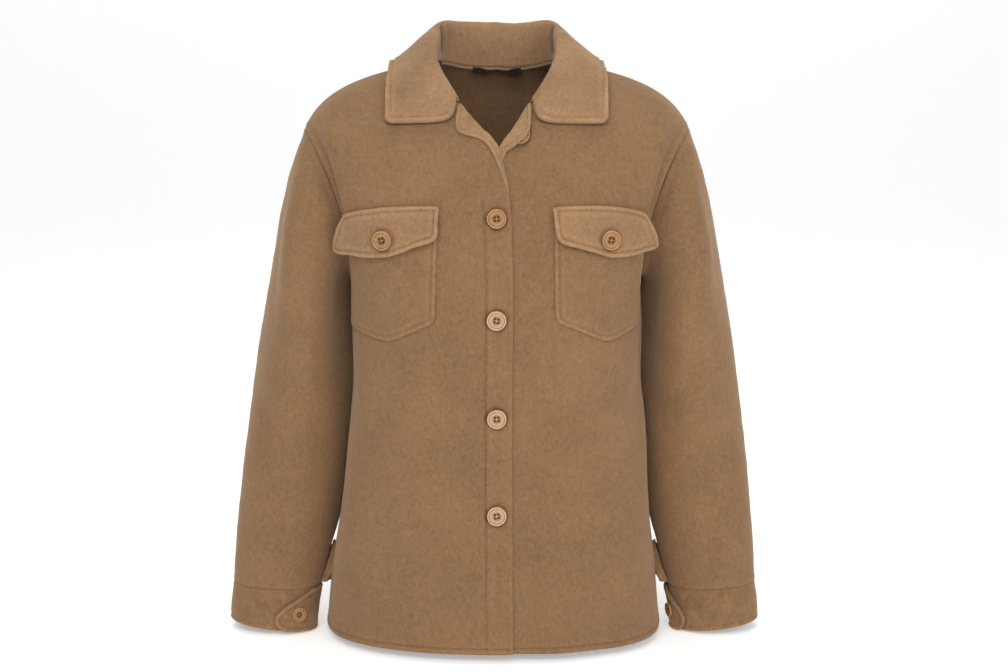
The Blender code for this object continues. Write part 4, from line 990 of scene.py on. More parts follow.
def ripples(spots, seed):
    """The height of the small uneven swellings of the cloth, in metres."""
    broad = wrinkle(spots * np.array([1.0, 1.0, 0.55]), seed, BROAD_RIPPLES)
    small = wrinkle(spots, seed + 40, SMALL_RIPPLES)
    return BROAD_RIPPLE * broad + SMALL_RIPPLE * small


def smooth_line(table, which, shares):
    """Places along one smooth curve through a pair of columns of a table."""
    found = [column(table, which + part) for part in ("_across", "_up")]
    stations = np.linspace(0, 1, len(found[0]))
    return points(*(smooth(stations, values, shares) for values in found))


def both_sides(piece):
    """Each side of the coat, and the name that a piece has there."""
    return [(side, f"{piece}_{SIDE_NAMES[side]}") for side in (-1, 1)]


def belongs(made):
    """Every piece lies in the coat's one body."""
    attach(made, "root")


def dress(made, node):
    """Names a piece after the solid that it stands for, hides that solid and puts the piece in the coat's
    body.
    """
    made.name = node + "_cloth"
    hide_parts(node)
    belongs(made)


# Grids: where the lines of a fine mesh lie

def lines(length, marks, coarse, fine, growth=0.30):
    """Shares from 0 to 1 along a stretch, close together near marks given in metres from its start."""
    spots = [0.0]
    while spots[-1] < length:
        gap = min(abs(spots[-1] - mark) for mark in marks)
        spots.append(spots[-1] + min(coarse, fine + growth * gap))
    return np.array(spots) / spots[-1]


def in_two(first, second, split):
    """Shares along an edge of two stretches that meet at the given share."""
    return np.concatenate([first * split, split + second[1:] * (1 - split)])


def side_shares(coarse):
    """Lines of a front or half a back: across from the inner edge, and up from the hem."""
    across = in_two(
        lines(NECK_STRETCH, (0.0, PLACKET_STITCH), coarse, EDGE_CELL),
        lines(SHOULDER_STRETCH, (SHOULDER_STRETCH,), coarse, EDGE_CELL),
        NECK_SHARE,
    )
    up = in_two(
        lines(LOWER_STRETCH, (0.0, HEM_STITCH), coarse, EDGE_CELL),
        lines(UPPER_STRETCH, (UPPER_STRETCH,), coarse, EDGE_CELL),
        UNDERARM_SHARE,
    )
    return across, up


# Distances from the edges of a piece, and the relief that follows them

def away_from(spots, line):
    """Distance of every point of a grid from a line of points."""
    flat = spots.reshape(-1, 3)
    nearest = np.full(len(flat), 1e9)
    for a, b in zip(line[:-1], line[1:]):
        along = b - a
        size = max(float(along @ along), 1e-16)
        share = np.clip(((flat - a) @ along) / size, 0.0, 1.0)
        gap = flat - a - share[:, None] * along
        nearest = np.minimum(nearest, np.einsum("ij,ij->i", gap, gap))
    return np.sqrt(nearest).reshape(spots.shape[:-1])


def rounded_edge(away, depth, reach):
    """How far a wall's surface dives beside its edge, along a quarter of an ellipse."""
    near = 1 - np.clip(away / reach, 0.0, 1.0)
    return -depth * (1 - np.sqrt(np.maximum(1 - near * near, 0.0)))


def sewn_edge(away, stitch, puff, groove, width=0.0011):
    """The swelling between an edge and its line of stitches, and the groove that the stitches pull."""
    swell = puff * np.sin(math.pi * np.clip(away / stitch, 0.0, 1.0)) ** 0.8
    beyond = 0.45 * puff * hump(away - stitch, 0.0035, 0.0030) * (away > stitch)
    return swell + beyond - groove * hump(away, stitch, width)


def ridge(away, height, at, width):
    """The height of a soft ridge at one distance from an edge."""
    return height * hump(away, at, width)


def edge_gaps(spots):
    """Distances from the four edges of an open grid: inner, outer, low and top."""
    return [away_from(spots, line) for line in (spots[:, 0], spots[:, -1], spots[0], spots[-1])]


# Where the buttons lie

def cloth_seat(name, skin, place, out):
    """The name of a button, the spot on a cloth surface that it lies on, and the way that it faces."""
    at = np.array([place[0]]), np.array([place[1]])
    spot = skin(*at, out)[0]
    return name, spot, skin(*at, out + 0.01)[0] - spot


def front_seats(side):
    """Where the buttons of one front lie: four down the over front, or one under the collar."""
    skin = body("front", side)
    if side == UNDER_SIDE:
        return [cloth_seat("button_neck", skin, FREE_BUTTON, 0.0)]
    places = [place_at(0.0, FRONT_BUTTON_TOP - k * FRONT_BUTTON_PITCH) for k in range(FRONT_BUTTON_COUNT)]
    return [
        cloth_seat(f"button_front_{k}", skin, place, FRONT_BUTTON_LIFT)
        for k, place in enumerate(places, 1)
    ]


def flap_seat(side):
    out = float(flap_out(np.array([FLAP_BUTTON_DOWN]))[0])
    return cloth_seat(f"button_pocket_{SIDE_NAMES[side]}", body("front", side), FLAP_BUTTON, out)


def cuff_seat(side):
    place = (math.radians(TAB_END[side] + TAB_BUTTON_BEHIND), TAB_BUTTON_DOWN)
    out = CUFF_THICK + CUFF_BUTTON_LIFT
    return cloth_seat(f"button_cuff_{SIDE_NAMES[side]}", cuff(side), place, out)


# Stitches

def crossings(spots, away, stitch):
    """Points of a grid at one distance from its edges, in order round the middle of the grid."""
    found = []
    for axis in (0, 1):
        a = away - stitch
        first, second = (a[:-1], a[1:]) if axis == 0 else (a[:, :-1], a[:, 1:])
        i, j = np.nonzero(first * second < 0)
        share = first[i, j] / (first[i, j] - second[i, j])
        other = (i + 1, j) if axis == 0 else (i, j + 1)
        spot = spots[i, j] + (spots[other] - spots[i, j]) * share[:, None]
        row, column_ = (i + share, j) if axis == 0 else (i, j + share)
        turn = np.arctan2(row / len(away) - 0.5, column_ / away.shape[1] - 0.5)
        found.append(np.column_stack([turn, spot]))
    found = np.concatenate(found)
    return found[np.argsort(found[:, 0]), 1:]


def spaced(line, pitch):
    """Ends of stitches of one length along a line of points; jumps in the line are left open."""
    ends, start, held = [], line[0], 0.0
    for a, b in zip(line[:-1], line[1:]):
        step = float(np.linalg.norm(b - a))
        if step > 3 * pitch:
            start, held = b, 0.0
            continue
        held += step
        if held >= pitch:
            ends.append((start, b))
            start, held = b, 0.0
    return ends


def stitch_parts(ends, radius, gap=0.16):
    """Points and faces of small pointed strands of thread that lie between pairs of ends."""
    if not ends:
        return np.zeros((0, 3)), np.zeros((0, 4), int)
    a, b = (np.array([pair[k] for pair in ends]) for k in (0, 1))
    along = unit(b - a)
    side = unit(np.cross(along, np.array([0.31, 0.22, 0.93])))
    up = np.cross(side, along)
    spots = []
    for share, size in ((gap, 0.3), (0.35, 1.0), (0.65, 1.0), (1 - gap, 0.3)):
        middle = a + (b - a) * share
        for angle in np.radians((45, 135, 225, 315)):
            spots.append(middle + radius * size * (math.cos(angle) * side + math.sin(angle) * up))
    spots = np.stack(spots, axis=1)
    number = np.arange(16).reshape(4, 4)
    one = np.concatenate([grid_faces(number, closed=True), number[0][None, ::-1], number[3][None]])
    faces = one[None] + 16 * np.arange(len(ends))[:, None, None]
    return spots.reshape(-1, 3), faces.reshape(-1, 4)


STITCHES = []


def sew(spots, ways, height, away, stitch, where=None):
    """Keeps a line of stitches that lies in its groove on the face of a piece."""
    at = spots + ways * (height - STITCH_SUNK)[..., None]
    line = crossings(at, away if where is None else np.where(where, away, 9.0), stitch)
    if len(line) > 1:
        STITCHES.extend(spaced(line, STITCH_PITCH))


def make_stitches(look):
    """All the stitches as one mesh."""
    spots, faces = stitch_parts(STITCHES, STITCH_RADIUS)
    belongs(mesh_object("stitches", spots, faces, [look]))


# Meshes

def new_object(name, data):
    made = bpy.data.objects.new(name, data)
    bpy.context.scene.collection.objects.link(made)
    return made


def mesh_object(name, spots, faces, looks, raised=None):
    """A smooth mesh with how far each point is raised kept on it, for the painted highlight, which also
    stands for wear, on raised cloth and the painted shade on sunk cloth.
    """
    data = bpy.data.meshes.new(name)
    data.from_pydata(np.asarray(spots).reshape(-1, 3).tolist(), [], np.asarray(faces).tolist())
    for look in looks:
        data.materials.append(look)
    if raised is not None:
        kept = data.attributes.new("raised", "FLOAT", "POINT")
        kept.data.foreach_set("value", np.asarray(raised, np.float32).ravel())
    data.shade_smooth()
    return new_object(name, data)


def grid_faces(number, closed=False):
    """Quads over a grid of point numbers; a closed grid goes round in its columns."""
    if closed:
        number = np.concatenate([number, number[:, :1]], axis=1)
    quads = np.stack([number[:-1, :-1], number[:-1, 1:], number[1:, 1:], number[1:, :-1]], axis=-1)
    return quads.reshape(-1, 4)


def strip_faces(one, other):
    return np.stack([one[:-1], other[:-1], other[1:], one[1:]], axis=-1)


def outward(name, spots, faces, looks, raised):
    """A closed mesh whose faces all look out of it."""
    a, b, c, d = (spots[faces[:, k]] for k in range(4))
    volume = sum(np.einsum("ij,ij->i", a, np.cross(*pair)).sum() for pair in ((b, c), (c, d)))
    if volume < 0:
        faces = faces[:, ::-1]
    return mesh_object(name, spots, faces, looks, raised)


def shell(name, outside, inside, look, raised, closed=False):
    """Thin cloth between an outer and an inner grid of points, with its edges closed."""
    rows, columns = outside.shape[:2]
    outer = np.arange(rows * columns).reshape(rows, columns)
    inner = outer + rows * columns
    parts = [grid_faces(outer, closed), grid_faces(inner, closed)[:, ::-1]]
    low, low_in, top, top_in = outer[0], inner[0], outer[-1], inner[-1]
    if closed:
        low, low_in, top, top_in = (np.append(row, row[0]) for row in (low, low_in, top, top_in))
    parts += [strip_faces(low, low_in), strip_faces(top_in, top)]
    if not closed:
        parts += [strip_faces(inner[:, 0], outer[:, 0]), strip_faces(outer[:, -1], inner[:, -1])]
    spots = np.concatenate([outside.reshape(-1, 3), inside.reshape(-1, 3)])
    # The inner faces keep only the sunk part of the relief, for painted shade
    raised = np.concatenate([raised.ravel(), 0.4 * np.minimum(raised, 0.0).ravel()])
    return outward(name, spots, np.concatenate(parts), [look], raised)


# Fronts, back and sleeves

NAP_FACES = []


def seam_roll(*aways):
    """How the cloth dives into the seams round a panel."""
    return rounded_edge(np.minimum.reduce(aways), SEAM_DEPTH, SEAM_REACH)


def free_roll(away, thick):
    """How both sides of a free edge round towards each other."""
    return rounded_edge(away, 0.46 * thick, 0.60 * thick)


def laid_on(skin, places):
    """Points of a surface at some places, and the way out of it at each."""
    a, b = places[..., 0], places[..., 1]
    spots = skin(a, b)
    return spots, skin(a, b, 1.0) - spots


def walls(name, spots, ways, out, thick, dive, relief, look, closed=False):
    """One piece of cloth: its face out of a surface, its thickness, the dive at its edges, its relief."""
    outside = spots + ways * (out + dive + relief)[..., None]
    NAP_FACES.append((name, outside, ways))
    inside = spots + ways * (out - thick - dive)[..., None]
    return shell(name, outside, inside, look, relief / RAISED_UNIT, closed)


def make_fronts(look):
    for side, name in both_sides("front"):
        across, up = side_shares(BODY_CELL)
        places = front_places(side, across, up)
        flat, ways = laid_on(body("front", side), places)
        edge, seam, hem, top = edge_gaps(flat)
        sewn = rounded_edge(np.minimum(seam, top), 0.0007, 0.0030)
        dive = np.minimum(sewn, free_roll(np.minimum(edge, hem), CLOTH))
        relief = sewn_edge(edge, FRONT_EDGE_STITCH, *FRONT_EDGE_SEWN)
        relief += sewn_edge(hem, HEM_STITCH, *HEM_SEWN)
        below = 1 - ease((places[..., 1] - PLACKET_SEWN_TO) / PLACKET_SEWN_FADE)
        relief -= below * ridge(edge - PLACKET_STITCH, *PLACKET_GROOVE)
        at_swell = hump(edge - PLACKET_STITCH, -PLACKET_SWELL_IN, PLACKET_SWELL_WIDTH)
        relief += below * PLACKET_SWELL * at_swell
        relief -= dimples(flat, front_seats(side))
        sew(flat, ways, relief, edge, PLACKET_STITCH, (below > 0.5) & (hem > 0.002))
        sew(flat, ways, relief, hem, HEM_STITCH, (edge > 0.004) & (seam > 0.002))
        relief += ridge(seam, *FRONT_SIDE_RIDGE) * ease(places[..., 1] / 0.1)
        dress(walls(name, flat, ways, 0.0, CLOTH, dive, relief, look), name)


def dimples(flat, seats):
    """How deep the cloth is pressed in round its buttons."""
    depth = 0.0 * flat[..., 0]
    for _, spot, _ in seats:
        gap = np.linalg.norm(flat - spot, axis=-1)
        depth += ridge(gap - BUTTON_RADIUS, *BUTTON_DIMPLE)
    return depth


def joined_halves(right, left):
    """Two halves as one grid, with one column at the middle that both share."""
    middle = (right[:, :1] + left[:, :1]) / 2 * np.array([0.0, 1.0, 1.0])
    return np.concatenate([right[:, :0:-1], middle, left[:, 1:]], axis=1)


def whole_back(across, up):
    places = back_places(across, up)
    halves = [laid_on(body("back", side), places) for side in (-1, 1)]
    flat, ways = (joined_halves(halves[0][k], halves[1][k]) for k in (0, 1))
    return flat, unit(ways)


def back_piece(name, flat, ways, look):
    """One piece of the back. A yoke is stitched along its low edge, and a half has a hem there."""
    inner, outer, low, top = edge_gaps(flat)
    inside = (inner > 0.002) & (outer > 0.002)
    seams = np.minimum.reduce([inner, outer, top])
    if name == "back_yoke":
        seams = np.minimum(seams, low)
        dive = seam_roll(seams)
        relief = sewn_edge(low, YOKE_STITCH, *YOKE_SEWN)
        sew(flat, ways, relief, low, YOKE_STITCH, inside)
    else:
        dive = np.minimum(seam_roll(seams), free_roll(low, CLOTH))
        relief = sewn_edge(low, HEM_STITCH, *HEM_SEWN)
        sew(flat, ways, relief, low, HEM_STITCH, inside)
    relief += ridge(seams, *BACK_SEAM_RIDGE)
    dress(walls(name, flat, ways, 0.0, CLOTH, dive, relief, look), name)


def make_back(look):
    """The back in three pieces: a yoke over the shoulders, and two halves that meet in a middle seam."""
    across, up = side_shares(BODY_CELL)
    yoke = YOKE_ROW / (CELLS_LOWER + CELLS_UPPER)
    rise = lines(BELOW_YOKE_STRETCH, (BELOW_YOKE_STRETCH,), BODY_CELL, EDGE_CELL)
    rise = UNDERARM_SHARE + (yoke - UNDERARM_SHARE) * rise
    flat, ways = whole_back(across, np.concatenate([up[up < UNDERARM_SHARE - 1e-6], rise]))
    middle = flat.shape[1] // 2
    back_piece("back_right", flat[:, : middle + 1], ways[:, : middle + 1], look)
    back_piece("back_left", flat[:, middle:], ways[:, middle:], look)
    rise = yoke + (1 - yoke) * lines(YOKE_STRETCH, (0.0, YOKE_STITCH, YOKE_STRETCH), BODY_CELL, EDGE_CELL)
    back_piece("back_yoke", *whole_back(across, rise), look)


def make_sleeves(look):
    turns = np.linspace(0, 2 * math.pi, ROUND_SLEEVE + 1)[:-1]
    down = lines(SLEEVE_LENGTH, (0.0, SLEEVE_LENGTH), SLEEVE_CELL, 0.0006)
    places = points(*np.meshgrid(turns, down))
    for side, name in both_sides("sleeve"):
        flat, ways = laid_on(sleeve(side), places)
        ring = np.concatenate([flat, flat[:, :1]], axis=1)
        top, low = (away_from(flat, line) for line in (ring[0], ring[-1]))
        relief = ridge(top, *SLEEVE_TOP_RIDGE)
        relief += ridge(low, *SLEEVE_LOW_RIDGE)
        dive = np.minimum(seam_roll(top), rounded_edge(low, 0.0005, 0.0012))
        made = walls(name, flat, ways, 0.0, CLOTH, dive, relief, look, closed=True)
        dress(made, name)


# Cuffs and the bindings of their slits

def make_cuffs(look):
    for side, name in both_sides("cuff"):
        end = math.radians(TAB_END[side])
        start = end + math.radians(TAB_OVERLAP) + 2 * math.pi
        length = (start - end) * CUFF_RADIUS
        along = lines(length, (0.0, length), 0.0035, 0.0005, 0.16)
        turns = start + (end - start) * along
        gone = (turns - end) * CUFF_RADIUS
        slant = (1 - np.clip((gone + 0.006) / TAB_SLANT, 0.0, 1.0)) ** 1.4
        tip = np.sqrt(1 - (1 - np.clip(gone / 0.009, 0.0, 1.0)) ** 2)
        top = TAB_POINT * (1 - (1 - slant) * tip)
        near = 1 - np.clip(gone / TAB_LOW_ROUND, 0.0, 1.0)
        low = TAB_POINT + (1 - TAB_POINT) * np.sqrt(np.maximum(1 - near**2, 0.0))
        top, low = np.maximum(top - 0.012, -0.013), np.minimum(low + 0.012, 1.0)
        shares = lines(CUFF_STRETCH, (0.0, CUFF_STRETCH), 0.0030, 0.0004, 0.22)
        down = top + shares[:, None] * (low - top)
        turn = np.broadcast_to(turns, down.shape)
        places = points(turn, down)
        before_lap = end + math.radians(TAB_OVERLAP + 42) - turns
        lift = (CUFF_THICK + 0.0010) * ease(before_lap / math.radians(40))
        flat, ways = laid_on(cuff(side), places)
        one_end, tab, upper, hem = edge_gaps(flat)
        on_tab = ease((end + math.radians(TAB_OVERLAP + 10) - turn) / math.radians(22))
        seam = np.where(gone > TAB_SLANT, upper, 9.0)
        free = np.minimum.reduce([tab, hem, np.where(gone > TAB_SLANT, 9.0, upper)])
        rolled = free_roll(np.minimum(free, one_end), CUFF_THICK)
        dive = np.minimum(rounded_edge(seam, 0.0005, 0.0012), rolled)
        relief = sewn_edge(hem, CUFF_STITCH, *CUFF_HEM_SEWN) * (1 - on_tab)
        relief += sewn_edge(free, CUFF_STITCH, *TAB_SEWN) * on_tab
        sew(flat, ways, lift + relief, free, CUFF_STITCH, on_tab > 0.6)
        lines_by_edge = np.sin(free / 0.00085 + 1.6 * wrinkle(flat, 13, ((0.012, 1.0),)))
        lines_by_edge *= on_tab * ease((free - 0.002) / 0.002) * ease((0.016 - free) / 0.006)
        creased = wrinkle(flat, 11, ((0.011, 0.6), (0.024, 0.9)))
        relief += 0.00022 * lines_by_edge + 0.0005 * creased * ease(free / 0.006) * ease(seam / 0.006)
        dress(walls(name, flat, ways, lift, CUFF_THICK, dive, relief, look), name)


def make_slit_bindings(look):
    length = (SLIT_LOW_DOWN - SLIT_TOP_DOWN) * SLEEVE_LENGTH
    down = SLIT_TOP_DOWN + (SLIT_LOW_DOWN - SLIT_TOP_DOWN) * lines(length, (0.0, length), 0.0020, 0.0006)
    share = (down - SLIT_TOP_DOWN) / (1 - SLIT_TOP_DOWN)
    line = SLIT_TOP_TURN + (SLIT_LOW_TURN - SLIT_TOP_TURN) * share
    width = BINDING_SPAN * (0.45 + 0.75 * ease(share * 3))
    wide = lines(BINDING_STRETCH, (0.0, BINDING_STRETCH), 0.0020, 0.0005)
    turn = np.radians(line[:, None] + width[:, None] * wide)
    places = points(turn, down[:, None])
    for side, name in both_sides("sleeve_binding"):
        flat, ways = laid_on(sleeve(side), places)
        away = np.minimum.reduce(edge_gaps(flat))
        dive = free_roll(away, BINDING_THICK)
        relief = sewn_edge(away, BINDING_STITCH, *BINDING_SEWN)
        relief = relief + 0.0009 * wrinkle(flat, 5, ((0.010, 1.0),))
        flare = np.sin(math.pi * np.clip(share, 0.0, 1.0)) ** 0.8
        middle = np.sin(math.pi * np.linspace(0, 1, turn.shape[1])) ** 0.6
        out = 0.0003 + BINDING_THICK + BINDING_FLARE * flare[:, None] * middle
        dress(walls(name, flat, ways, out, BINDING_THICK, dive, relief, look), name)


# Chest pockets, their flaps and the turned corners

def rounded_corners(corners, radii, steps=7):
    """A closed outline whose corners are rounded, as one list of points for each corner's arc."""
    corners = np.asarray(corners, float)
    arcs = []
    for k, radius in enumerate(radii):
        here, before, after = corners[k], corners[k - 1], corners[(k + 1) % len(corners)]
        back, ahead = unit(before - here), unit(after - here)
        start, stop = here + back * radius, here + ahead * radius
        t = np.linspace(0, 1, steps)[:, None]
        arcs.append((1 - t) ** 2 * start + 2 * t * (1 - t) * here + t**2 * stop)
    return arcs


def patch_places(corners, radii, cell, bow=0.0):
    """Places of a sewn-on patch from its corners: inner low, tip, outer low, outer top, inner top."""
    size = np.array([ROW_LENGTH, UPPER_LENGTH])
    spots = np.array(corners, float)
    arcs = rounded_corners(spots * size, radii)
    half = len(arcs[0]) // 2
    bottom = np.concatenate([arcs[0][half:], arcs[1], arcs[2][:half + 1]]) / size
    outer = np.concatenate([arcs[2][half:], arcs[3][:half + 1]]) / size
    upper = np.concatenate([arcs[4][:half + 1][::-1], arcs[3][half:][::-1]])
    steps = np.linspace(0, 1, 25)
    upper = polyline(upper / size, size)(steps)
    upper[:, 1] += bow * np.sin(math.pi * steps)
    inner = np.concatenate([arcs[4][half:], arcs[0][:half + 1]])[::-1] / size
    wide = float(np.linalg.norm((spots[3] - spots[4]) * size))
    tall = float(np.linalg.norm((spots[0] - spots[4]) * size))
    across = lines(wide, (0.0, PATCH_STITCH, wide - PATCH_STITCH, wide), cell, 0.0005, 0.25)
    up = lines(tall, (0.0, PATCH_STITCH, tall - PATCH_STITCH, tall), cell, 0.0005, 0.25)
    places = fill(*(polyline(line, size) for line in (inner, outer, bottom, upper)), across, up)
    return places, across, up


def make_pockets(look):
    for side, name in both_sides("pocket"):
        places, across, up = patch_places(POCKET_CORNERS[side], POCKET_RADII, 0.0022)
        r, t = np.meshgrid(across, 1 - up)
        puff = POCKET_PUFF * np.sin(math.pi * r) * np.sin(math.pi * (0.25 + 0.75 * t))
        out = PATCH_GAP * 0.4 + CLOTH + puff
        flat, ways = laid_on(body("front", side), places)
        inner, outer, low, top = edge_gaps(flat)
        away = np.minimum.reduce([inner, outer, low])
        dive = free_roll(np.minimum(away, top), CLOTH)
        relief = sewn_edge(away, PATCH_STITCH, *POCKET_SEWN)
        sew(flat, ways, out + relief, away, PATCH_STITCH, top > 0.001)
        dress(walls(name, flat, ways, out, CLOTH, dive, relief, look), name)


def flap_out(down):
    """How far the outer side of a flap lies out of the front, from its seam to its lower edge."""
    over_pocket = (FLAP_LIFT + POCKET_PUFF) * ease(down / FLAP_CLEARS_POCKET)
    return PATCH_GAP + CLOTH + over_pocket + FLAP_HANG * down**2


def make_flaps(look):
    for side, name in both_sides("flap"):
        places, across, up = patch_places(FLAP_CORNERS[side], FLAP_RADII, 0.0020, FLAP_BOW[side])
        r, t = np.meshgrid(across, 1 - up)
        flat, ways = laid_on(body("front", side), places)
        away = np.minimum.reduce(edge_gaps(flat))
        dive = free_roll(away, CLOTH)
        relief = sewn_edge(away, PATCH_STITCH, *FLAP_SEWN)
        wave = FLAP_WAVE * np.sin(2 * math.pi * (1.3 * r + 0.2)) * t**2
        at_end = ease((r - FLAP_REACH_FROM) / FLAP_REACH_OVER)
        out = flap_out(t) + wave + FLAP_REACH[side] * at_end * ease(t / FLAP_REACH_DOWN)
        relief -= dimples(flat + ways * out[..., None], [flap_seat(side)])
        sew(flat, ways, out + relief, away, PATCH_STITCH)
        dress(walls(name, flat, ways, out, CLOTH, dive, relief, look), name)


def make_turned_corners(look):
    """The corners of the fronts, which roll outward over the edge and lie on the cloth beside it."""
    along = np.linspace(0, 1, 96)
    for (side, name), table in zip(both_sides("turned_corner"), (OVER_CORNER, UNDER_CORNER)):
        edge, free = (smooth_line(table, which, along) for which in ("edge", "free"))
        skin = body("front", side)
        at_edge = skin(edge[:, 0], edge[:, 1], -CLOTH / 2)
        calm = 0.25 + 0.75 * ease((1 - along) / 0.45)
        out = (TURNED_CLEAR[side] + CLOTH) * calm
        at_free = skin(free[:, 0], free[:, 1], out)
        facing = unit(skin(edge[:, 0], edge[:, 1], 0.001) - skin(edge[:, 0], edge[:, 1], 0.0))
        away = unit(at_edge - at_free)
        away = unit(away - facing * np.einsum("ij,ij->i", away, facing)[:, None])
        radius = out + CLOTH / 2
        roll, swell = TURNED_ROLL * calm[:, None], TURNED_SWELL * calm[:, None]
        rows = []
        for angle in np.radians(np.linspace(TURNED_ROLL_FROM, TURNED_ROLL_TO, 16)):
            spot = at_edge + away * np.cos(angle) * roll + facing * (np.sin(angle) * radius)[:, None]
            rows.append(spot)
        top = rows[-1]
        lift = facing * swell
        reach = at_free + (top - at_free) * 0.4 + lift
        leave = top - away * 0.3 * length_of(top - at_free) + lift * 0.5
        rows += list(bezier_rows(top, leave, reach, at_free, np.linspace(0, 1, 17))[1:])
        shown = np.array(rows)
        normal = grid_normals(shown)
        if (normal[-3] * facing).sum() < 0:
            normal = -normal
        edges = edge_gaps(shown)
        dive = free_roll(np.minimum.reduce(edges), CLOTH)
        relief = sewn_edge(edges[3], TURNED_STITCH, *TURNED_SEWN) * calm
        relief += 0.0004 * wrinkle(shown, 17, ((0.016, 1.0),)) * calm
        NAP_FACES.append((name, shown, normal))
        outside = shown + normal * (dive + relief)[..., None]
        inside = shown - normal * (CLOTH + dive)[..., None]
        dress(shell(name, outside, inside, look, relief / RAISED_UNIT), name)


# Collar, tape and label

def collar_grid(along, stand_shares, fall_shares):
    right = collar_half(OVER_SIDE, along, stand_shares, fall_shares)[:, ::-1]
    left = collar_half(UNDER_SIDE, along, stand_shares, fall_shares)[:, ::-1]
    return joined_halves(right, left)


def collar_creases(along, height):
    """Depth of the creases where the stand turns from the side of the neck to the back."""
    depth = 0.0 * (along + height)
    for at, low, high, deep, width in COLLAR_CREASES[1:]:
        ends = ease((height - low) / 0.15) * ease((high - height) / 0.15)
        depth = depth + deep * hump(along - at, 0.02 * height, width) * ends
    return depth


def round_tips(grid, radius):
    """A grid whose two corners at the end of its last row are rounded."""
    free = away_from(grid, grid[-1])
    made = grid.copy()
    for end in (0, -1):
        tip, step = grid[-1, end], 12 if end == 0 else -13
        from_end, from_free = unit(grid[-1, step] - tip), unit(grid[-12, end] - tip)
        u = np.clip(1 - away_from(grid, grid[:, end]) / radius, 0.0, 1.0)
        v = np.clip(1 - free / radius, 0.0, 1.0)
        made += from_end * (radius * u * (1 - np.sqrt(1 - v * v / 2)))[..., None]
        made += from_free * (radius * v * (1 - np.sqrt(1 - u * u / 2)))[..., None]
    return made


def make_collar(look):
    ends = lines(COLLAR_STRETCH, (0.0,), 0.0032, 0.0006, 0.2)
    stand = lines(STAND_STRETCH, (0.0,), 0.0026, 0.0008)
    marks = (FALL_STRETCH, FALL_STRETCH - COLLAR_STITCH)
    fall = lines(FALL_STRETCH, marks, 0.0026, 0.0005, 0.2)
    shown = round_tips(collar_grid(ends, stand, fall), COLLAR_TIP_ROUND)
    facing = grid_normals(shown)
    if facing[-1, shown.shape[1] // 2][1] < 0:
        facing = -facing
    one_end, other_end, foot, free = edge_gaps(shown)
    away = np.minimum.reduce([one_end, other_end, free])
    dive = np.minimum(free_roll(away, DOUBLE_CLOTH), rounded_edge(foot, 0.0012, 0.0016))
    height = np.concatenate([stand, 1 + fall[1:]])[:, None] * np.ones(shown.shape[1])
    along = np.concatenate([ends[:-1], [1.0], ends[-2::-1]]) + 0 * height
    on_fall = ease((height - 1.15) / 0.2)
    relief = sewn_edge(away, COLLAR_STITCH, *COLLAR_SEWN) * on_fall
    relief += 0.0006 * wrinkle(shown, 23, ((0.020, 1.0),)) * on_fall * (1 - ease((away - 0.004) / 0.008))
    relief -= collar_creases(along, height)
    relief += 0.0007 * wrinkle(shown, 3, ((0.060, 1.0), (0.025, 0.35))) * ease(away / 0.01)
    outside = shown + facing * (dive + relief)[..., None]
    inside = shown - facing * (DOUBLE_CLOTH + dive)[..., None]
    NAP_FACES.append(("collar", outside, facing))
    dress(shell("collar", outside, inside, look, relief / RAISED_UNIT), "collar")


def neck_strip(name, look, along, heights, shares, edge, hold, thick):
    """A strip round the inside of the back neck between two heights, held off the cloth there."""
    seam = np.concatenate([neck_seam(OVER_SIDE, along)[:-1], neck_seam(UNDER_SIDE, along)[::-1]])
    low, high = (np.concatenate([line[:-1], line[::-1]]) for line in heights)
    way = out_of_neck(seam)
    height = low + (high - low) * shares[:, None]
    spots, ways = seam + points(0.0, 0.0, height), np.broadcast_to(way, height.shape + (3,))
    away = np.minimum.reduce(edge_gaps(spots))
    dive = rounded_edge(away, *edge)
    shown = spots - ways * (hold + thick + dive)[..., None]
    back = spots - ways * (hold - dive)[..., None]
    dress(shell(name, shown, back, look, 0 * away), name)


def make_tape(look):
    along = np.linspace(TAPE_FROM, 1.0, 100)
    heights = [height + 0 * along for height in TAPE_HEIGHTS]
    shares = lines(TAPE_STRETCH, (0.0, TAPE_STRETCH), 0.0006, 0.0003)
    neck_strip("neck_tape", look, along, heights, shares, TAPE_EDGE, CLOTH + TAPE_OFF, TAPE_THICK)


def make_label(look):
    """The plain dark strip, whose middle is half covered by the cloth that bulges over the seam."""
    along = np.linspace(LABEL_FROM, 1.0, 60)
    covered = ease((along - LABEL_COVERED_FROM) / LABEL_COVERED_OVER)
    low = LABEL_LOW + LABEL_COVERED_LOW * covered + LABEL_WAVE * np.sin(along * 90)
    heights = (low, LABEL_TOP - LABEL_COVERED_TOP * covered)
    shares = lines(LABEL_STRETCH, (0.0, LABEL_STRETCH), 0.0009, 0.0003)
    hold = CLOTH + LABEL_OFF + TAPE_THICK
    neck_strip("neck_label", look, along, heights, shares, LABEL_EDGE, hold, LABEL_THICK)


# Buttons

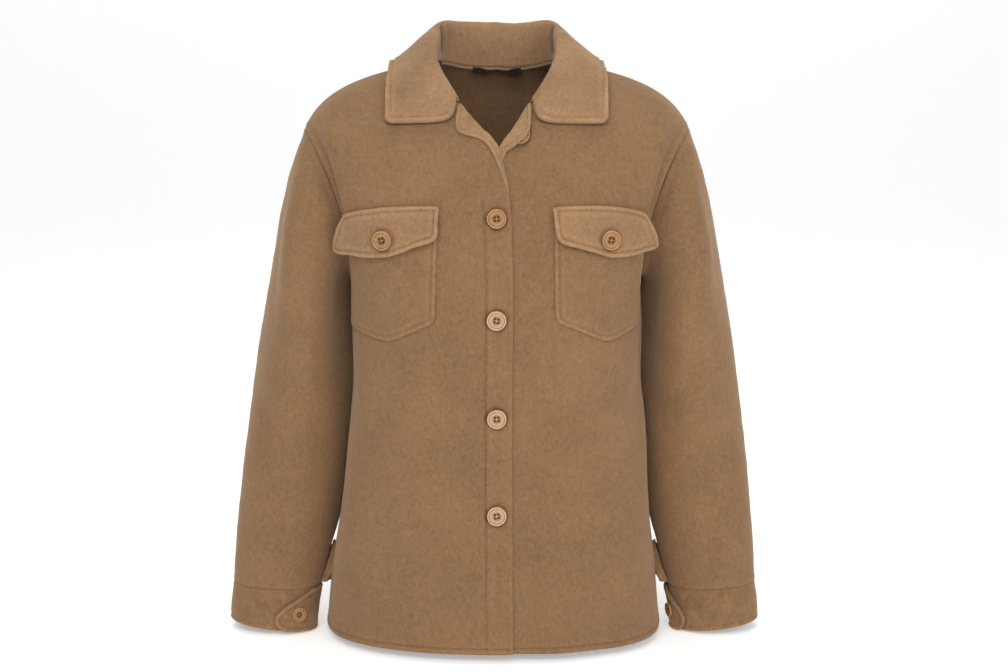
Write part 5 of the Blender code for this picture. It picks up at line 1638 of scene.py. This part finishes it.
def turned_profile(name, profile, steps):
    """A closed solid turned round z from a profile of (radius, height) whose ends lie on the axis."""
    profile = np.array(profile, float)
    angles = np.linspace(0, 2 * math.pi, steps + 1)[:-1]
    rings = profile[1:-1]
    spots = np.stack(
        [
            rings[:, :1] * np.cos(angles),
            rings[:, :1] * np.sin(angles),
            np.broadcast_to(rings[:, 1:], (len(rings), steps)),
        ],
        axis=-1,
    ).reshape(-1, 3)
    top, low = len(spots), len(spots) + 1
    spots = np.concatenate([spots, [[0, 0, profile[0, 1]], [0, 0, profile[-1, 1]]]])
    faces = []
    for k in range(len(rings) - 1):
        for j in range(steps):
            n = (j + 1) % steps
            faces.append((k * steps + j, (k + 1) * steps + j, (k + 1) * steps + n, k * steps + n))
    last = (len(rings) - 1) * steps
    faces += [(top, j, (j + 1) % steps) for j in range(steps)]
    faces += [(low, last + (j + 1) % steps, last + j) for j in range(steps)]
    data = bpy.data.meshes.new(name)
    data.from_pydata(spots.tolist(), [], faces)
    data.validate()
    return new_object(name, data)


def button_mesh(look):
    """A round four-hole button: a raised rim, a flat face and a shallow well round the holes."""
    blank = turned_profile("button_blank", BUTTON_PROFILE, 72)
    for k in range(4):
        x, y = BUTTON_HOLE_OFFSET * (1, 1, -1, -1)[k], BUTTON_HOLE_OFFSET * (1, -1, 1, -1)[k]
        r, h = HOLE_RADIUS, DRILL_HALF
        drill = turned_profile("button_drill", ((0, h), (r, h), (r, -h), (0, -h)), 16)
        drill.data.transform(Matrix.Translation((x, y, 0)))
        cut = blank.modifiers.new("hole", "BOOLEAN")
        cut.operation = "DIFFERENCE"
        cut.solver = "EXACT"
        cut.object = drill
    bpy.context.view_layer.update()
    made = bpy.data.meshes.new_from_object(blank.evaluated_get(bpy.context.evaluated_depsgraph_get()))
    for item in [o for o in bpy.data.objects if o.name.startswith(("button_blank", "button_drill"))]:
        bpy.data.objects.remove(item)
    made.name = "button"
    spots = np.empty(len(made.vertices) * 3)
    made.vertices.foreach_get("co", spots)
    spots = spots.reshape(-1, 3)
    out = np.hypot(spots[:, 0], spots[:, 1])
    on_rim, in_groove = out > BUTTON_RIM_FROM, np.abs(out - BUTTON_GROOVE) < BUTTON_GROOVE_HALF
    on_slope, in_holes = (out > WELL_SLOPE_FROM) & (out < WELL_SLOPE_TO), spots[:, 2] < HOLES_BELOW
    # Mask for painted light: 1 on the rim for a painted highlight, below 0 in the groove, the well's
    # slope and the holes for painted shade
    raised = 1.0 * on_rim - 1.0 * in_groove - 0.5 * on_slope - 1.0 * in_holes
    kept = made.attributes.new("raised", "FLOAT", "POINT")
    kept.data.foreach_set("value", np.clip(raised, -1.0, 1.0).astype(np.float32))
    made.materials.clear()
    made.materials.append(look)
    made.shade_smooth()
    made.set_sharp_from_angle(angle=math.radians(32))
    return made


def thread_bar(a, b, radius, arch, steps=8, sides=6):
    """A strand of thread that bows up between two holes, as points and faces."""
    a, b = np.array(a, float), np.array(b, float)
    t = np.linspace(0, 1, steps + 1)
    path = a + (b - a) * t[:, None]
    path[:, 2] += arch * np.sin(math.pi * t) ** 0.5
    along = unit(np.gradient(path, axis=0))
    side = unit(np.cross(along, [0.0, 0.0, 1.0]))
    up = np.cross(side, along)
    angles = np.linspace(0, 2 * math.pi, sides + 1)[:-1]
    rings = path[:, None] + radius * (
        np.cos(angles)[None, :, None] * side[:, None] + np.sin(angles)[None, :, None] * up[:, None]
    )
    number = np.arange((steps + 1) * sides).reshape(steps + 1, sides)
    faces = grid_faces(number, closed=True)
    return rings.reshape(-1, 3), faces


def thread_mesh(look):
    """The threads of one button, two strands each way between opposite holes."""
    spots, faces, count = [], [], 0
    o, z = BUTTON_HOLE_OFFSET, BUTTON_WELL
    for sign in (-1, 1):
        for shift in (-STRAND_APART, STRAND_APART):
            a = (sign * o + shift, -o, z - STRAND_SUNK)
            b = (sign * o + shift, o, z - STRAND_SUNK)
            ring, quads = thread_bar(a, b, STRAND_RADIUS, STRAND_ARCH)
            spots.append(ring)
            faces.append(quads + count)
            count += len(ring)
    data = bpy.data.meshes.new("button_thread")
    data.from_pydata(np.concatenate(spots).tolist(), [], np.concatenate(faces).tolist())
    data.materials.append(look)
    data.shade_smooth()
    return data


def seat(name, mesh, threads, spot, facing, turn, size=1.0):
    """A button and its threads on a spot of cloth, facing out of it."""
    facing = Vector(facing).normalized()
    hold = facing.to_track_quat("Z", "Y").to_matrix().to_4x4()
    stand = Matrix.Translation(Vector(spot) + facing * BUTTON_OFF)
    place = stand @ hold @ Matrix.Rotation(turn, 4, "Z") @ Matrix.Scale(size, 4)
    button, thread = new_object(name, mesh.copy()), new_object(name + "_thread", threads.copy())
    for made, slot in ((button, "button"), (thread, "brushed_cloth")):
        made.data.transform(place)
        belongs(made)
    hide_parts(name)


def make_buttons(looks, thread):
    """All the buttons, of two shades of one plastic as they come out of the dye."""
    threads = thread_mesh(thread)
    golden, pale = (button_mesh(look) for look in looks)
    seats = front_seats(OVER_SIDE) + front_seats(UNDER_SIDE)
    seats += [flap_seat(side) for side in (-1, 1)] + [cuff_seat(side) for side in (-1, 1)]
    turns = (0.10, -0.20, 0.05, 0.15, 0.30, 0.35, -0.25, 0.60, 0.20)
    for (name, spot, facing), turn in zip(seats, turns):
        mesh = pale if name in ("button_front_2", "button_front_3", "button_front_4") else golden
        seat(name, mesh, threads, spot, facing, turn, CUFF_BUTTON_SIZE if "cuff" in name else 1.0)


# Loose fibres of the brushed cloth

def fibre_roots(face, ways, number, random):
    """Random spots spread evenly over a grid of points, and the way out of the cloth at each."""
    a, b, c, d = face[:-1, :-1], face[:-1, 1:], face[1:, 1:], face[1:, :-1]
    size = np.linalg.norm(np.cross(c - a, d - b), axis=-1).ravel() / 2
    cell = np.searchsorted(np.cumsum(size) / size.sum(), random.random(number)).clip(0, len(size) - 1)
    r, t = random.random((2, number, 1))
    corners = [grid.reshape(-1, 3)[cell] for grid in (a, b, c, d)]
    low, high = corners[0] * (1 - r) + corners[1] * r, corners[3] * (1 - r) + corners[2] * r
    return low * (1 - t) + high * t, ways[:-1, :-1].reshape(-1, 3)[cell], size.sum()


def make_nap(look):
    """Short fibres that stand off the face of every piece of brushed cloth, a closed spike each."""
    random = np.random.default_rng(FIBRE_SEED)
    sizes = [fibre_roots(face, ways, 1, random)[2] for _, face, ways in NAP_FACES]
    share = FIBRES / sum(sizes)
    parts = {}
    for (name, face, ways), size in zip(NAP_FACES, sizes):
        number = max(int(size * share), FEWEST_FIBRES)
        roots, out, _ = fibre_roots(face, ways, number, random)
        lean = unit(random.normal(size=(number, 3)) + np.array([0.0, 0.0, -FIBRE_DROOP]))
        way = unit(out * FIBRE_STAND + lean * FIBRE_LEAN)
        side = unit(np.cross(way, lean + 0.1))
        other = np.cross(way, side)
        length = random.uniform(*FIBRE_LENGTHS, (number, 1))
        foot = roots - out * FIBRE_SUNK
        spots = [
            foot + FIBRE_RADIUS * (math.cos(angle) * side + math.sin(angle) * other)
            for angle in np.radians((0, 120, 240))
        ]
        spots.append(foot + way * length)
        kind = "nap_low" if name.startswith(("sleeve", "cuff")) else "nap_body"
        parts.setdefault(kind, []).append(np.stack(spots, axis=1))
    for kind, fibres in parts.items():
        spots = np.concatenate(fibres)
        one = np.array([(0, 1, 3), (1, 2, 3), (2, 0, 3), (0, 2, 1)])
        faces = one[None] + 4 * np.arange(len(spots))[:, None, None]
        belongs(mesh_object(kind, spots, faces.reshape(-1, 3), [look]))


# Node groups that more than one material uses

def group(name, inputs, outputs):
    """A new shader node group with its sockets, and its input and output nodes."""
    made = bpy.data.node_groups.new(name, "ShaderNodeTree")
    for label, kind, value in inputs:
        socket = made.interface.new_socket(label, in_out="INPUT", socket_type=kind)
        socket.default_value = value
    for label, kind in outputs:
        made.interface.new_socket(label, in_out="OUTPUT", socket_type=kind)
    start, end = made.nodes.new("NodeGroupInput"), made.nodes.new("NodeGroupOutput")
    return made, start, end


def math_node(tree, kind, a, b=0.5, c=None, clamp=False):
    """A Math node whose inputs are numbers or sockets; gives its output socket."""
    node = tree.nodes.new("ShaderNodeMath")
    node.operation = kind
    node.use_clamp = clamp
    for k, value in enumerate((a, b) if c is None else (a, b, c)):
        if isinstance(value, (int, float)):
            node.inputs[k].default_value = value
        else:
            tree.links.new(value, node.inputs[k])
    return node.outputs[0]


def mix_colour(tree, kind, factor, a, b):
    """A Mix node for colours; gives its output socket."""
    node = tree.nodes.new("ShaderNodeMix")
    node.data_type = "RGBA"
    node.blend_type = kind
    for socket, value in ((node.inputs[0], factor), (node.inputs[6], a), (node.inputs[7], b)):
        if isinstance(value, (int, float, tuple)):
            socket.default_value = value
        else:
            tree.links.new(value, socket)
    return node.outputs[2]


def noise(tree, where, size, detail, roughness=0.55, stretch=None):
    """Noise of a given size in metres, stretched along axes if asked; gives its value socket."""
    if stretch is not None:
        mapped = tree.nodes.new("ShaderNodeMapping")
        mapped.inputs["Scale"].default_value = stretch
        tree.links.new(where, mapped.inputs["Vector"])
        where = mapped.outputs[0]
    node = tree.nodes.new("ShaderNodeTexNoise")
    set_inputs(node, {"Scale": 1.0 / size, "Detail": detail, "Roughness": roughness})
    tree.links.new(where, node.inputs["Vector"])
    return node.outputs["Fac"]


def about_half(tree, value, gain, base, clamp=False):
    """The base, plus a gain times how far a value lies above a half."""
    return math_node(tree, "MULTIPLY_ADD", math_node(tree, "SUBTRACT", value, 0.5), gain, base, clamp)


def scaled_colour(tree, colour, factor):
    node = tree.nodes.new("ShaderNodeVectorMath")
    node.operation = "SCALE"
    tree.links.new(colour, node.inputs[0])
    tree.links.new(factor, node.inputs["Scale"])
    return node.outputs[0]


def object_places(tree):
    return tree.nodes.new("ShaderNodeTexCoord").outputs["Object"]


def brushed_nap_group():
    """Tufts and loose fibres of brushed cloth: where the nap lies light or dark, and its height."""
    tree, start, end = group(
        "brushed_nap",
        (("Colour", "NodeSocketColor", (0.3, 0.17, 0.09, 1.0)), ("Mottle", "NodeSocketFloat", 1.0)),
        (("Colour", "NodeSocketColor"), ("Height", "NodeSocketFloat")),
    )
    where = object_places(tree)
    tuft = noise(tree, where, 0.0046, 3.0, 0.6, (1.0, 1.0, 0.7))
    fibre = noise(tree, where, 0.0017, 3.0, 0.65, (1.0, 1.0, 0.34))
    cross = noise(tree, where, 0.0026, 2.0, 0.6, (0.5, 0.5, 1.6))
    patch = noise(tree, where, 0.060, 3.0, 0.5)
    lint = noise(tree, where, 0.0009, 2.0, 0.7)
    shade = 0.0
    for part, gain in ((tuft, 0.52), (fibre, 0.70), (cross, 0.34), (patch, 0.40), (lint, 0.60)):
        shade = about_half(tree, part, gain, shade)
    shade = math_node(tree, "MULTIPLY", shade, start.outputs["Mottle"])
    factor = math_node(tree, "ADD", shade, 1.0)
    scaled = scaled_colour(tree, start.outputs["Colour"], factor)
    warm = about_half(tree, noise(tree, where, 0.011, 2.0), 0.9, 0.5, True)
    tint = mix_colour(tree, "MIX", warm, (1.03, 1.0, 0.93, 1.0), (0.98, 0.995, 1.05, 1.0))
    blot = math_node(tree, "SUBTRACT", noise(tree, where, 0.026, 3.0), 0.60)
    blot = math_node(tree, "MULTIPLY", math_node(tree, "MULTIPLY_ADD", blot, 4.0, 0.0, True), 0.40)
    tint = mix_colour(tree, "MIX", blot, tint, (1.10, 0.96, 0.86, 1.0))
    tree.links.new(mix_colour(tree, "MULTIPLY", 1.0, scaled, tint), end.inputs["Colour"])
    height = math_node(tree, "MULTIPLY", fibre, 0.35)
    for part, gain in ((tuft, 0.55), (cross, 0.22), (lint, 0.12)):
        height = math_node(tree, "MULTIPLY_ADD", part, gain, height)
    tree.links.new(height, end.inputs["Height"])
    return tree


def edge_wear_highlight_shade_group():
    """Lightens what is raised, as wear and a painted highlight, and darkens what is sunk with painted
    shade, from the mesh's own relief.
    """
    tree, start, end = group(
        "edge_wear_highlight_shade",
        (
            ("Colour", "NodeSocketColor", (0.3, 0.17, 0.09, 1.0)),
            ("Rubbed", "NodeSocketFloat", 0.12),
            ("Sunk", "NodeSocketFloat", 0.30),
        ),
        (("Colour", "NodeSocketColor"),),
    )
    raised = tree.nodes.new("ShaderNodeAttribute")
    raised.attribute_name = "raised"
    # Raised places get a painted highlight that also stands for wear; sunk places get painted shade
    up = math_node(tree, "MAXIMUM", raised.outputs["Fac"], 0.0)
    down = math_node(tree, "MAXIMUM", math_node(tree, "MULTIPLY", raised.outputs["Fac"], -1.0), 0.0)
    gain = math_node(tree, "MULTIPLY_ADD", up, start.outputs["Rubbed"], 1.0)
    shade_loss = math_node(tree, "MULTIPLY", down, start.outputs["Sunk"], clamp=True)
    factor = math_node(tree, "MULTIPLY", gain, math_node(tree, "SUBTRACT", 1.0, shade_loss))
    tree.links.new(scaled_colour(tree, start.outputs["Colour"], factor), end.inputs["Colour"])
    return tree


def new_material(name):
    made = bpy.data.materials.new(name)
    made.use_nodes = True
    return made, made.node_tree, made.node_tree.nodes["Principled BSDF"]


def set_inputs(node, values):
    for label, value in values.items():
        node.inputs[label].default_value = value


def place_group(tree, which, **values):
    node = tree.nodes.new("ShaderNodeGroup")
    node.node_tree = which
    set_inputs(node, values)
    return node


def add_bump(tree, shader, height, strength, distance):
    bump = tree.nodes.new("ShaderNodeBump")
    set_inputs(bump, {"Strength": strength, "Distance": distance})
    tree.links.new(height, bump.inputs["Height"])
    tree.links.new(bump.outputs["Normal"], shader.inputs["Normal"])


def cloth_material(name, colour, mottle=1.0, wear_and_highlight=0.12, sunk_shade=0.34):
    """Brushed cloth with its nap, its raised edges lighter as wear and a painted highlight, its grooves
    and seams darker with painted shade, and soft sheen.
    """
    made, tree, shader = new_material(name)
    nap = place_group(tree, NAP, Colour=colour, Mottle=mottle)
    # Painted highlight, also standing for wear, on raised edges, and painted shade in grooves and seams
    edge = place_group(tree, EDGE_LIGHT_AND_SHADE, Rubbed=wear_and_highlight, Sunk=sunk_shade)
    tree.links.new(nap.outputs["Colour"], edge.inputs["Colour"])
    tree.links.new(edge.outputs["Colour"], shader.inputs["Base Color"])
    set_inputs(shader, {"Roughness": 0.96, "Specular IOR Level": 0.12, "Sheen Weight": 0.32})
    set_inputs(shader, {"Sheen Roughness": 0.55, "Sheen Tint": (0.90, 0.68, 0.48, 1.0)})
    add_bump(tree, shader, nap.outputs["Height"], 0.75, 0.0011)
    return made


def woven_material(name, colour, dark, pitch, roughness, sheen=0.15):
    """Plain woven tape or ribbon: warp and weft threads as waves."""
    made, tree, shader = new_material(name)
    where = object_places(tree)
    heights = []
    for direction in ("X", "Z"):
        wave = tree.nodes.new("ShaderNodeTexWave")
        wave.bands_direction = direction
        set_inputs(wave, {"Scale": 0.314 / pitch, "Distortion": 0.6})
        tree.links.new(where, wave.inputs["Vector"])
        heights.append(wave.outputs["Fac"])
    height = math_node(tree, "MULTIPLY", heights[0], heights[1])
    speck = noise(tree, where, 0.0012, 2.0)
    factor = math_node(tree, "MULTIPLY_ADD", height, 0.5, math_node(tree, "MULTIPLY", speck, 0.5))
    colours = mix_colour(tree, "MIX", factor, dark, colour)
    tree.links.new(colours, shader.inputs["Base Color"])
    set_inputs(shader, {"Roughness": roughness, "Sheen Weight": sheen, "Specular IOR Level": 0.2})
    add_bump(tree, shader, height, 0.6, 0.0003)
    return made


def button_material(name, shades):
    """Satin tan plastic with a faint wood-like grain, with painted shade in its groove, well and holes
    and a painted highlight on its rim.
    """
    made, tree, shader = new_material(name)
    where = object_places(tree)
    grain = noise(tree, where, 0.0016, 4.0, 0.6, (0.25, 1.0, 1.0))
    cloud = noise(tree, where, 0.0050, 3.0, 0.5)
    factor = math_node(tree, "MULTIPLY_ADD", grain, 0.6, math_node(tree, "MULTIPLY", cloud, 0.4))
    factor = about_half(tree, factor, 2.4, 0.5, True)
    # Painted highlight on the rim and painted shade in the groove, well and holes, from the raised mask
    edge = place_group(tree, EDGE_LIGHT_AND_SHADE, Rubbed=0.26, Sunk=0.92)
    tree.links.new(mix_colour(tree, "MIX", factor, *shades), edge.inputs["Colour"])
    tree.links.new(edge.outputs["Colour"], shader.inputs["Base Color"])
    rough = math_node(tree, "MULTIPLY_ADD", grain, 0.18, 0.34)
    tree.links.new(rough, shader.inputs["Roughness"])
    set_inputs(shader, {"Specular IOR Level": 0.22, "Coat Weight": 0.06, "Coat Roughness": 0.25})
    add_bump(tree, shader, grain, 0.25, 0.0002)
    return made


def floor_material():
    made, tree, shader = new_material("pale_floor")
    where = object_places(tree)
    speck = noise(tree, where, 0.4, 2.0)
    colours = mix_colour(tree, "MIX", speck, (0.92, 0.92, 0.92, 1.0), (0.94, 0.94, 0.94, 1.0))
    tree.links.new(colours, shader.inputs["Base Color"])
    set_inputs(shader, {"Emission Color": WHITE, "Emission Strength": FLOOR_GLOW, "Roughness": 0.9})
    return made


# Floor, light and camera

def make_stage():
    """A pale floor that curves up into a backdrop."""
    half, front, back, high, bend = STAGE
    profile = [(front, 0.0), (back - bend, 0.0)]
    for angle in np.linspace(0, math.pi / 2, 12)[1:]:
        profile.append((back - bend + bend * math.sin(angle), bend - bend * math.cos(angle)))
    profile.append((back, high))
    rows = [[(x, y, z + FLOOR_Z) for x in (-half, half)] for y, z in profile]
    faces = grid_faces(np.arange(2 * len(rows)).reshape(-1, 2))
    mesh_object("floor", rows, faces, [floor_material()])


def area_light(name, place, target, size, power):
    data = bpy.data.lights.new(name, "AREA")
    data.shape = "RECTANGLE"
    data.size, data.size_y = size
    data.energy = power
    made = new_object(name, data)
    made.location = place
    made.rotation_mode = "QUATERNION"
    made.rotation_quaternion = (Vector(target) - Vector(place)).to_track_quat("-Z", "Y")


def make_light():
    world = bpy.data.worlds.new("studio")
    world.use_nodes = True
    set_inputs(world.node_tree.nodes["Background"], {"Color": WHITE, "Strength": WORLD_STRENGTH})
    bpy.context.scene.world = world
    bpy.context.scene.view_settings.view_transform = "Standard"
    for name, place, size, power in LIGHTS:
        area_light(name, place, LIGHT_TARGET, size, power)


def make_camera():
    data = bpy.data.cameras.new("camera")
    data.sensor_width = 36.0
    data.lens = CAMERA_LENS
    data.clip_start = 0.05
    data.clip_end = 60.0
    made = new_object("camera", data)
    rise = math.radians(CAMERA_RISE)
    target = Vector(CAMERA_TARGET)
    made.location = target + CAMERA_DISTANCE * Vector((0.0, -math.cos(rise), math.sin(rise)))
    made.rotation_mode = "QUATERNION"
    made.rotation_quaternion = (target - made.location).to_track_quat("-Z", "Y")
    bpy.context.scene.camera = made


# Everything

NAP, EDGE_LIGHT_AND_SHADE = brushed_nap_group(), edge_wear_highlight_shade_group()
body_look = cloth_material("brushed_cloth", CLOTH_COLOUR)
patch_look = cloth_material("brushed_cloth_patches", CLOTH_COLOUR, 1.05, 0.26, 0.2)
# The collar's cloth, also used for the turned corners, is painted lighter as a lit copy of the body cloth
collar_look = cloth_material("brushed_cloth_collar_lit", COLLAR_LIT_COLOUR, 0.95, 0.14, 0.2)
thread_look = woven_material("button_thread", THREAD_COLOUR, THREAD_DARK, 0.0005, 0.8, 0.0)
make_fronts(body_look)
make_back(body_look)
make_sleeves(body_look)
make_cuffs(patch_look)
make_slit_bindings(patch_look)
make_collar(collar_look)
make_turned_corners(collar_look)
make_pockets(patch_look)
# The flaps' cloth is painted lighter, as a lit copy of the body cloth
make_flaps(cloth_material("brushed_cloth_flaps_lit", FLAP_LIT_COLOUR, 0.95, 0.22, 0.2))
make_tape(woven_material("neck_tape", TAPE_COLOUR, TAPE_DARK, 0.0008, 0.85))
make_label(woven_material("neck_label", LABEL_COLOUR, LABEL_DARK, 0.0006, 0.7, 0.0))
shades = button_material("button", GOLDEN_BUTTON), button_material("button_pale", PALE_BUTTON)
make_buttons(shades, thread_look)
make_stitches(cloth_material("sewing_thread", STITCH_COLOUR))
make_nap(cloth_material("loose_fibres", FIBRE_COLOUR))
make_stage()
make_light()
make_camera()
